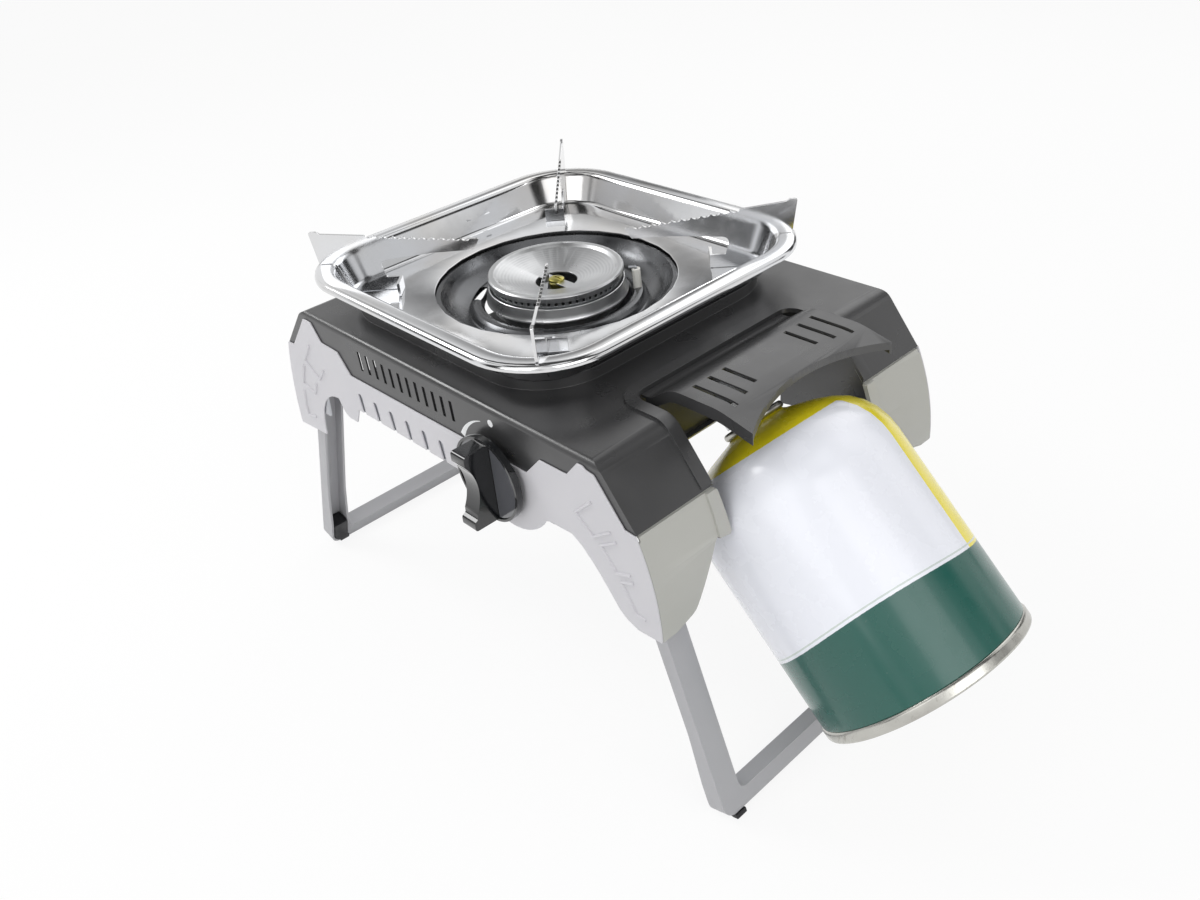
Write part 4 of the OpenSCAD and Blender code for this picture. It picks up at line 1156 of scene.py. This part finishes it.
@dataclass
class Legs:
    """Folding leg frames, their feet and pins.

    Attributes:
        shop: Where pieces are finished.
    """

    shop: Workshop

    def build(self) -> None:
        """Builds both leg frames."""
        for side, body in (("left", Body.LEFT_LEG), ("right", Body.RIGHT_LEG)):
            self.shop.copy(f"{side}_leg", Slot.LEG, body, 0.7)
            self.shop.copy(f"{side}_leg_feet", Slot.MATTE, body, 0.5)
            self.shop.copy(f"{side}_leg_pins", Slot.ZINC, Body.STOVE, 0.4)


@dataclass
class Cartridge:
    """Printed gas cartridge with its valve cup and its seamed base.

    Attributes:
        shop: Where pieces are finished.
    """

    shop: Workshop

    def build(self) -> None:
        """Builds the cartridge."""
        self.shop.copy("cartridge_can", Slot.PRINTED, Body.CARTRIDGE, 0.3)
        self.shop.copy("cartridge_valve", Slot.TINPLATE, Body.CARTRIDGE, 0.4)
        self.shop.copy("cartridge_base", Slot.TINPLATE, Body.CARTRIDGE, 0.5, segments=3)


# ------------------------------------------------------------------ the studio


@dataclass
class Studio:
    """Pale floor, soft lamps, surroundings and the camera."""

    def build(self) -> None:
        """Builds the studio."""
        self.floor()
        self.world()
        self.lamp("key", (-0.85, -0.48, 0.95), 0.45, 4.6)
        self.lamp("front", (0.35, -1.2, 0.75), 0.9, 3.0)
        self.lamp("fill", (1.15, -0.25, 0.75), 0.8, 3.0)
        self.lamp("back", (-0.35, 1.05, 0.95), 0.9, 1.7)
        self.camera()
        bpy.context.scene.view_settings.view_transform = "Standard"

    def floor(self) -> None:
        """A wide pale floor that keeps the object's shadow."""
        mesh = bmesh.new()
        bmesh.ops.create_circle(mesh, cap_ends=True, segments=96, radius=6.0)
        floor = emit(mesh, "floor")
        g = Graph("white_studio_floor")
        cloud = g.ramp(g.noise(3.0, 2.0), 0.3, 0.7, 0.0, 1.0)
        g.feed("Base Color", g.mix(cloud, to_linear("F4F4F4"), to_linear("F7F7F7")))
        g.feed("Roughness", 0.9)
        g.feed("Specular IOR Level", 0.0)
        glow = g.add("ShaderNodeEmission", {"Color": (1.0, 1.0, 1.0, 1.0), "Strength": 1.0})
        path = g.add("ShaderNodeLightPath")
        seen = g.math("MAXIMUM", path.outputs["Is Camera Ray"], path.outputs["Is Glossy Ray"])
        seen = g.math("MAXIMUM", seen, path.outputs["Is Transmission Ray"])
        glow_share = 0.88
        share = g.math("MULTIPLY", seen, glow_share)
        blend = g.add("ShaderNodeMixShader", {0: share, 1: g.shader.outputs[0], 2: glow.outputs[0]})
        g.tree.links.new(blend.outputs[0], g.output.inputs["Surface"])
        floor.data.materials.append(g.material)

    def world(self) -> None:
        """White to the camera; a soft grey room with dark flags for light and gloss."""
        world = bpy.data.worlds.new("studio_room")
        bpy.context.scene.world = world
        world.use_nodes = True
        tree = world.node_tree
        tree.nodes.clear()

        def add(kind: str, inputs: dict[Any, Any], **settings: Any) -> bpy.types.Node:
            """Adds a node to the room.

            Args:
                kind: Blender's node type.
                inputs: Values or outputs for its inputs.
                **settings: Properties of the node.

            Returns:
                The node.
            """
            node = tree.nodes.new(kind)
            for key, value in settings.items():
                setattr(node, key, value)
            for key, value in inputs.items():
                if isinstance(value, bpy.types.NodeSocket):
                    tree.links.new(value, node.inputs[key])
                else:
                    node.inputs[key].default_value = value
            return node

        way = add("ShaderNodeTexCoord", {}).outputs["Generated"]
        up = add("ShaderNodeSeparateXYZ", {0: way}).outputs[2]
        glow = add("ShaderNodeMapRange", {0: up, 1: -0.1, 2: 0.8, 3: 0.44, 4: 0.72}).outputs[0]
        squash = add("ShaderNodeMapping", {"Vector": way, "Scale": (1.0, 1.0, 0.55)}).outputs[0]
        cloud = add("ShaderNodeTexNoise", {"Vector": squash, "Scale": 2.3, "Detail": 1.0}).outputs["Fac"]
        edges = {0: cloud, 1: 0.41, 2: 0.53, 3: 0.05, 4: 0.95}
        flag = add("ShaderNodeMapRange", edges, clamp=True).outputs[0]
        path = add("ShaderNodeLightPath", {})
        shine = add("ShaderNodeMix", {0: path.outputs["Is Glossy Ray"], 2: glow, 3: flag}).outputs[0]
        rays = {0: path.outputs["Is Camera Ray"], 1: path.outputs["Is Transmission Ray"]}
        seen = add("ShaderNodeMath", rays, operation="MAXIMUM")
        level = add("ShaderNodeMix", {0: seen.outputs[0], 2: shine, 3: 1.0}).outputs[0]
        back = add("ShaderNodeBackground", {"Color": (1.0, 1.0, 1.0, 1.0), "Strength": level})
        add("ShaderNodeOutputWorld", {"Surface": back.outputs[0]})

    def lamp(self, name: str, place: tuple[float, float, float], size: float, power: float) -> None:
        """A soft square lamp that faces the stove.

        Args:
            name: Name of the lamp.
            place: Where it stands, in metres.
            size: Its width in metres.
            power: Its power in watts.
        """
        light = bpy.data.lights.new(f"softbox_{name}", "AREA")
        light.size = size
        light.energy = power
        lamp = bpy.data.objects.new(f"softbox_{name}", light)
        lamp.location = place
        aim = Vector((0.05, 0.0, 0.12)) - Vector(place)
        lamp.rotation_euler = aim.to_track_quat("-Z", "Y").to_euler()
        bpy.context.scene.collection.objects.link(lamp)

    def camera(self) -> None:
        """A 32.5 mm lens above and to the right of the knob, rolled a little."""
        place = Vector((0.42485, -0.347, 0.4457))
        yaw, pitch, roll = math.radians(49.233), math.radians(33.34), math.radians(-5.605)
        level = Vector((-math.sin(yaw), math.cos(yaw), 0.0))
        ahead = level * math.cos(pitch) - Vector((0.0, 0.0, math.sin(pitch)))
        right = Vector((math.cos(yaw), math.sin(yaw), 0.0))
        down = ahead.cross(right)
        across = right * math.cos(roll) - down * math.sin(roll)
        under = right * math.sin(roll) + down * math.cos(roll)
        lens = bpy.data.cameras.new("studio_camera")
        lens.sensor_width = 36.0
        lens.lens = 32.4975
        camera = bpy.data.objects.new("studio_camera", lens)
        turn = Matrix((across, -under, -ahead)).transposed().to_4x4()
        camera.matrix_world = Matrix.Translation(place) @ turn
        bpy.context.scene.collection.objects.link(camera)
        bpy.context.scene.camera = camera


def main() -> None:
    """Builds the whole picture."""
    shop = Workshop(all_finishes())
    for section in (Housing, TrayAndSupports, Burner, GasLine, Legs, Cartridge):
        section(shop).build()
    Studio().build()


if __name__ == "__main__":
    main()
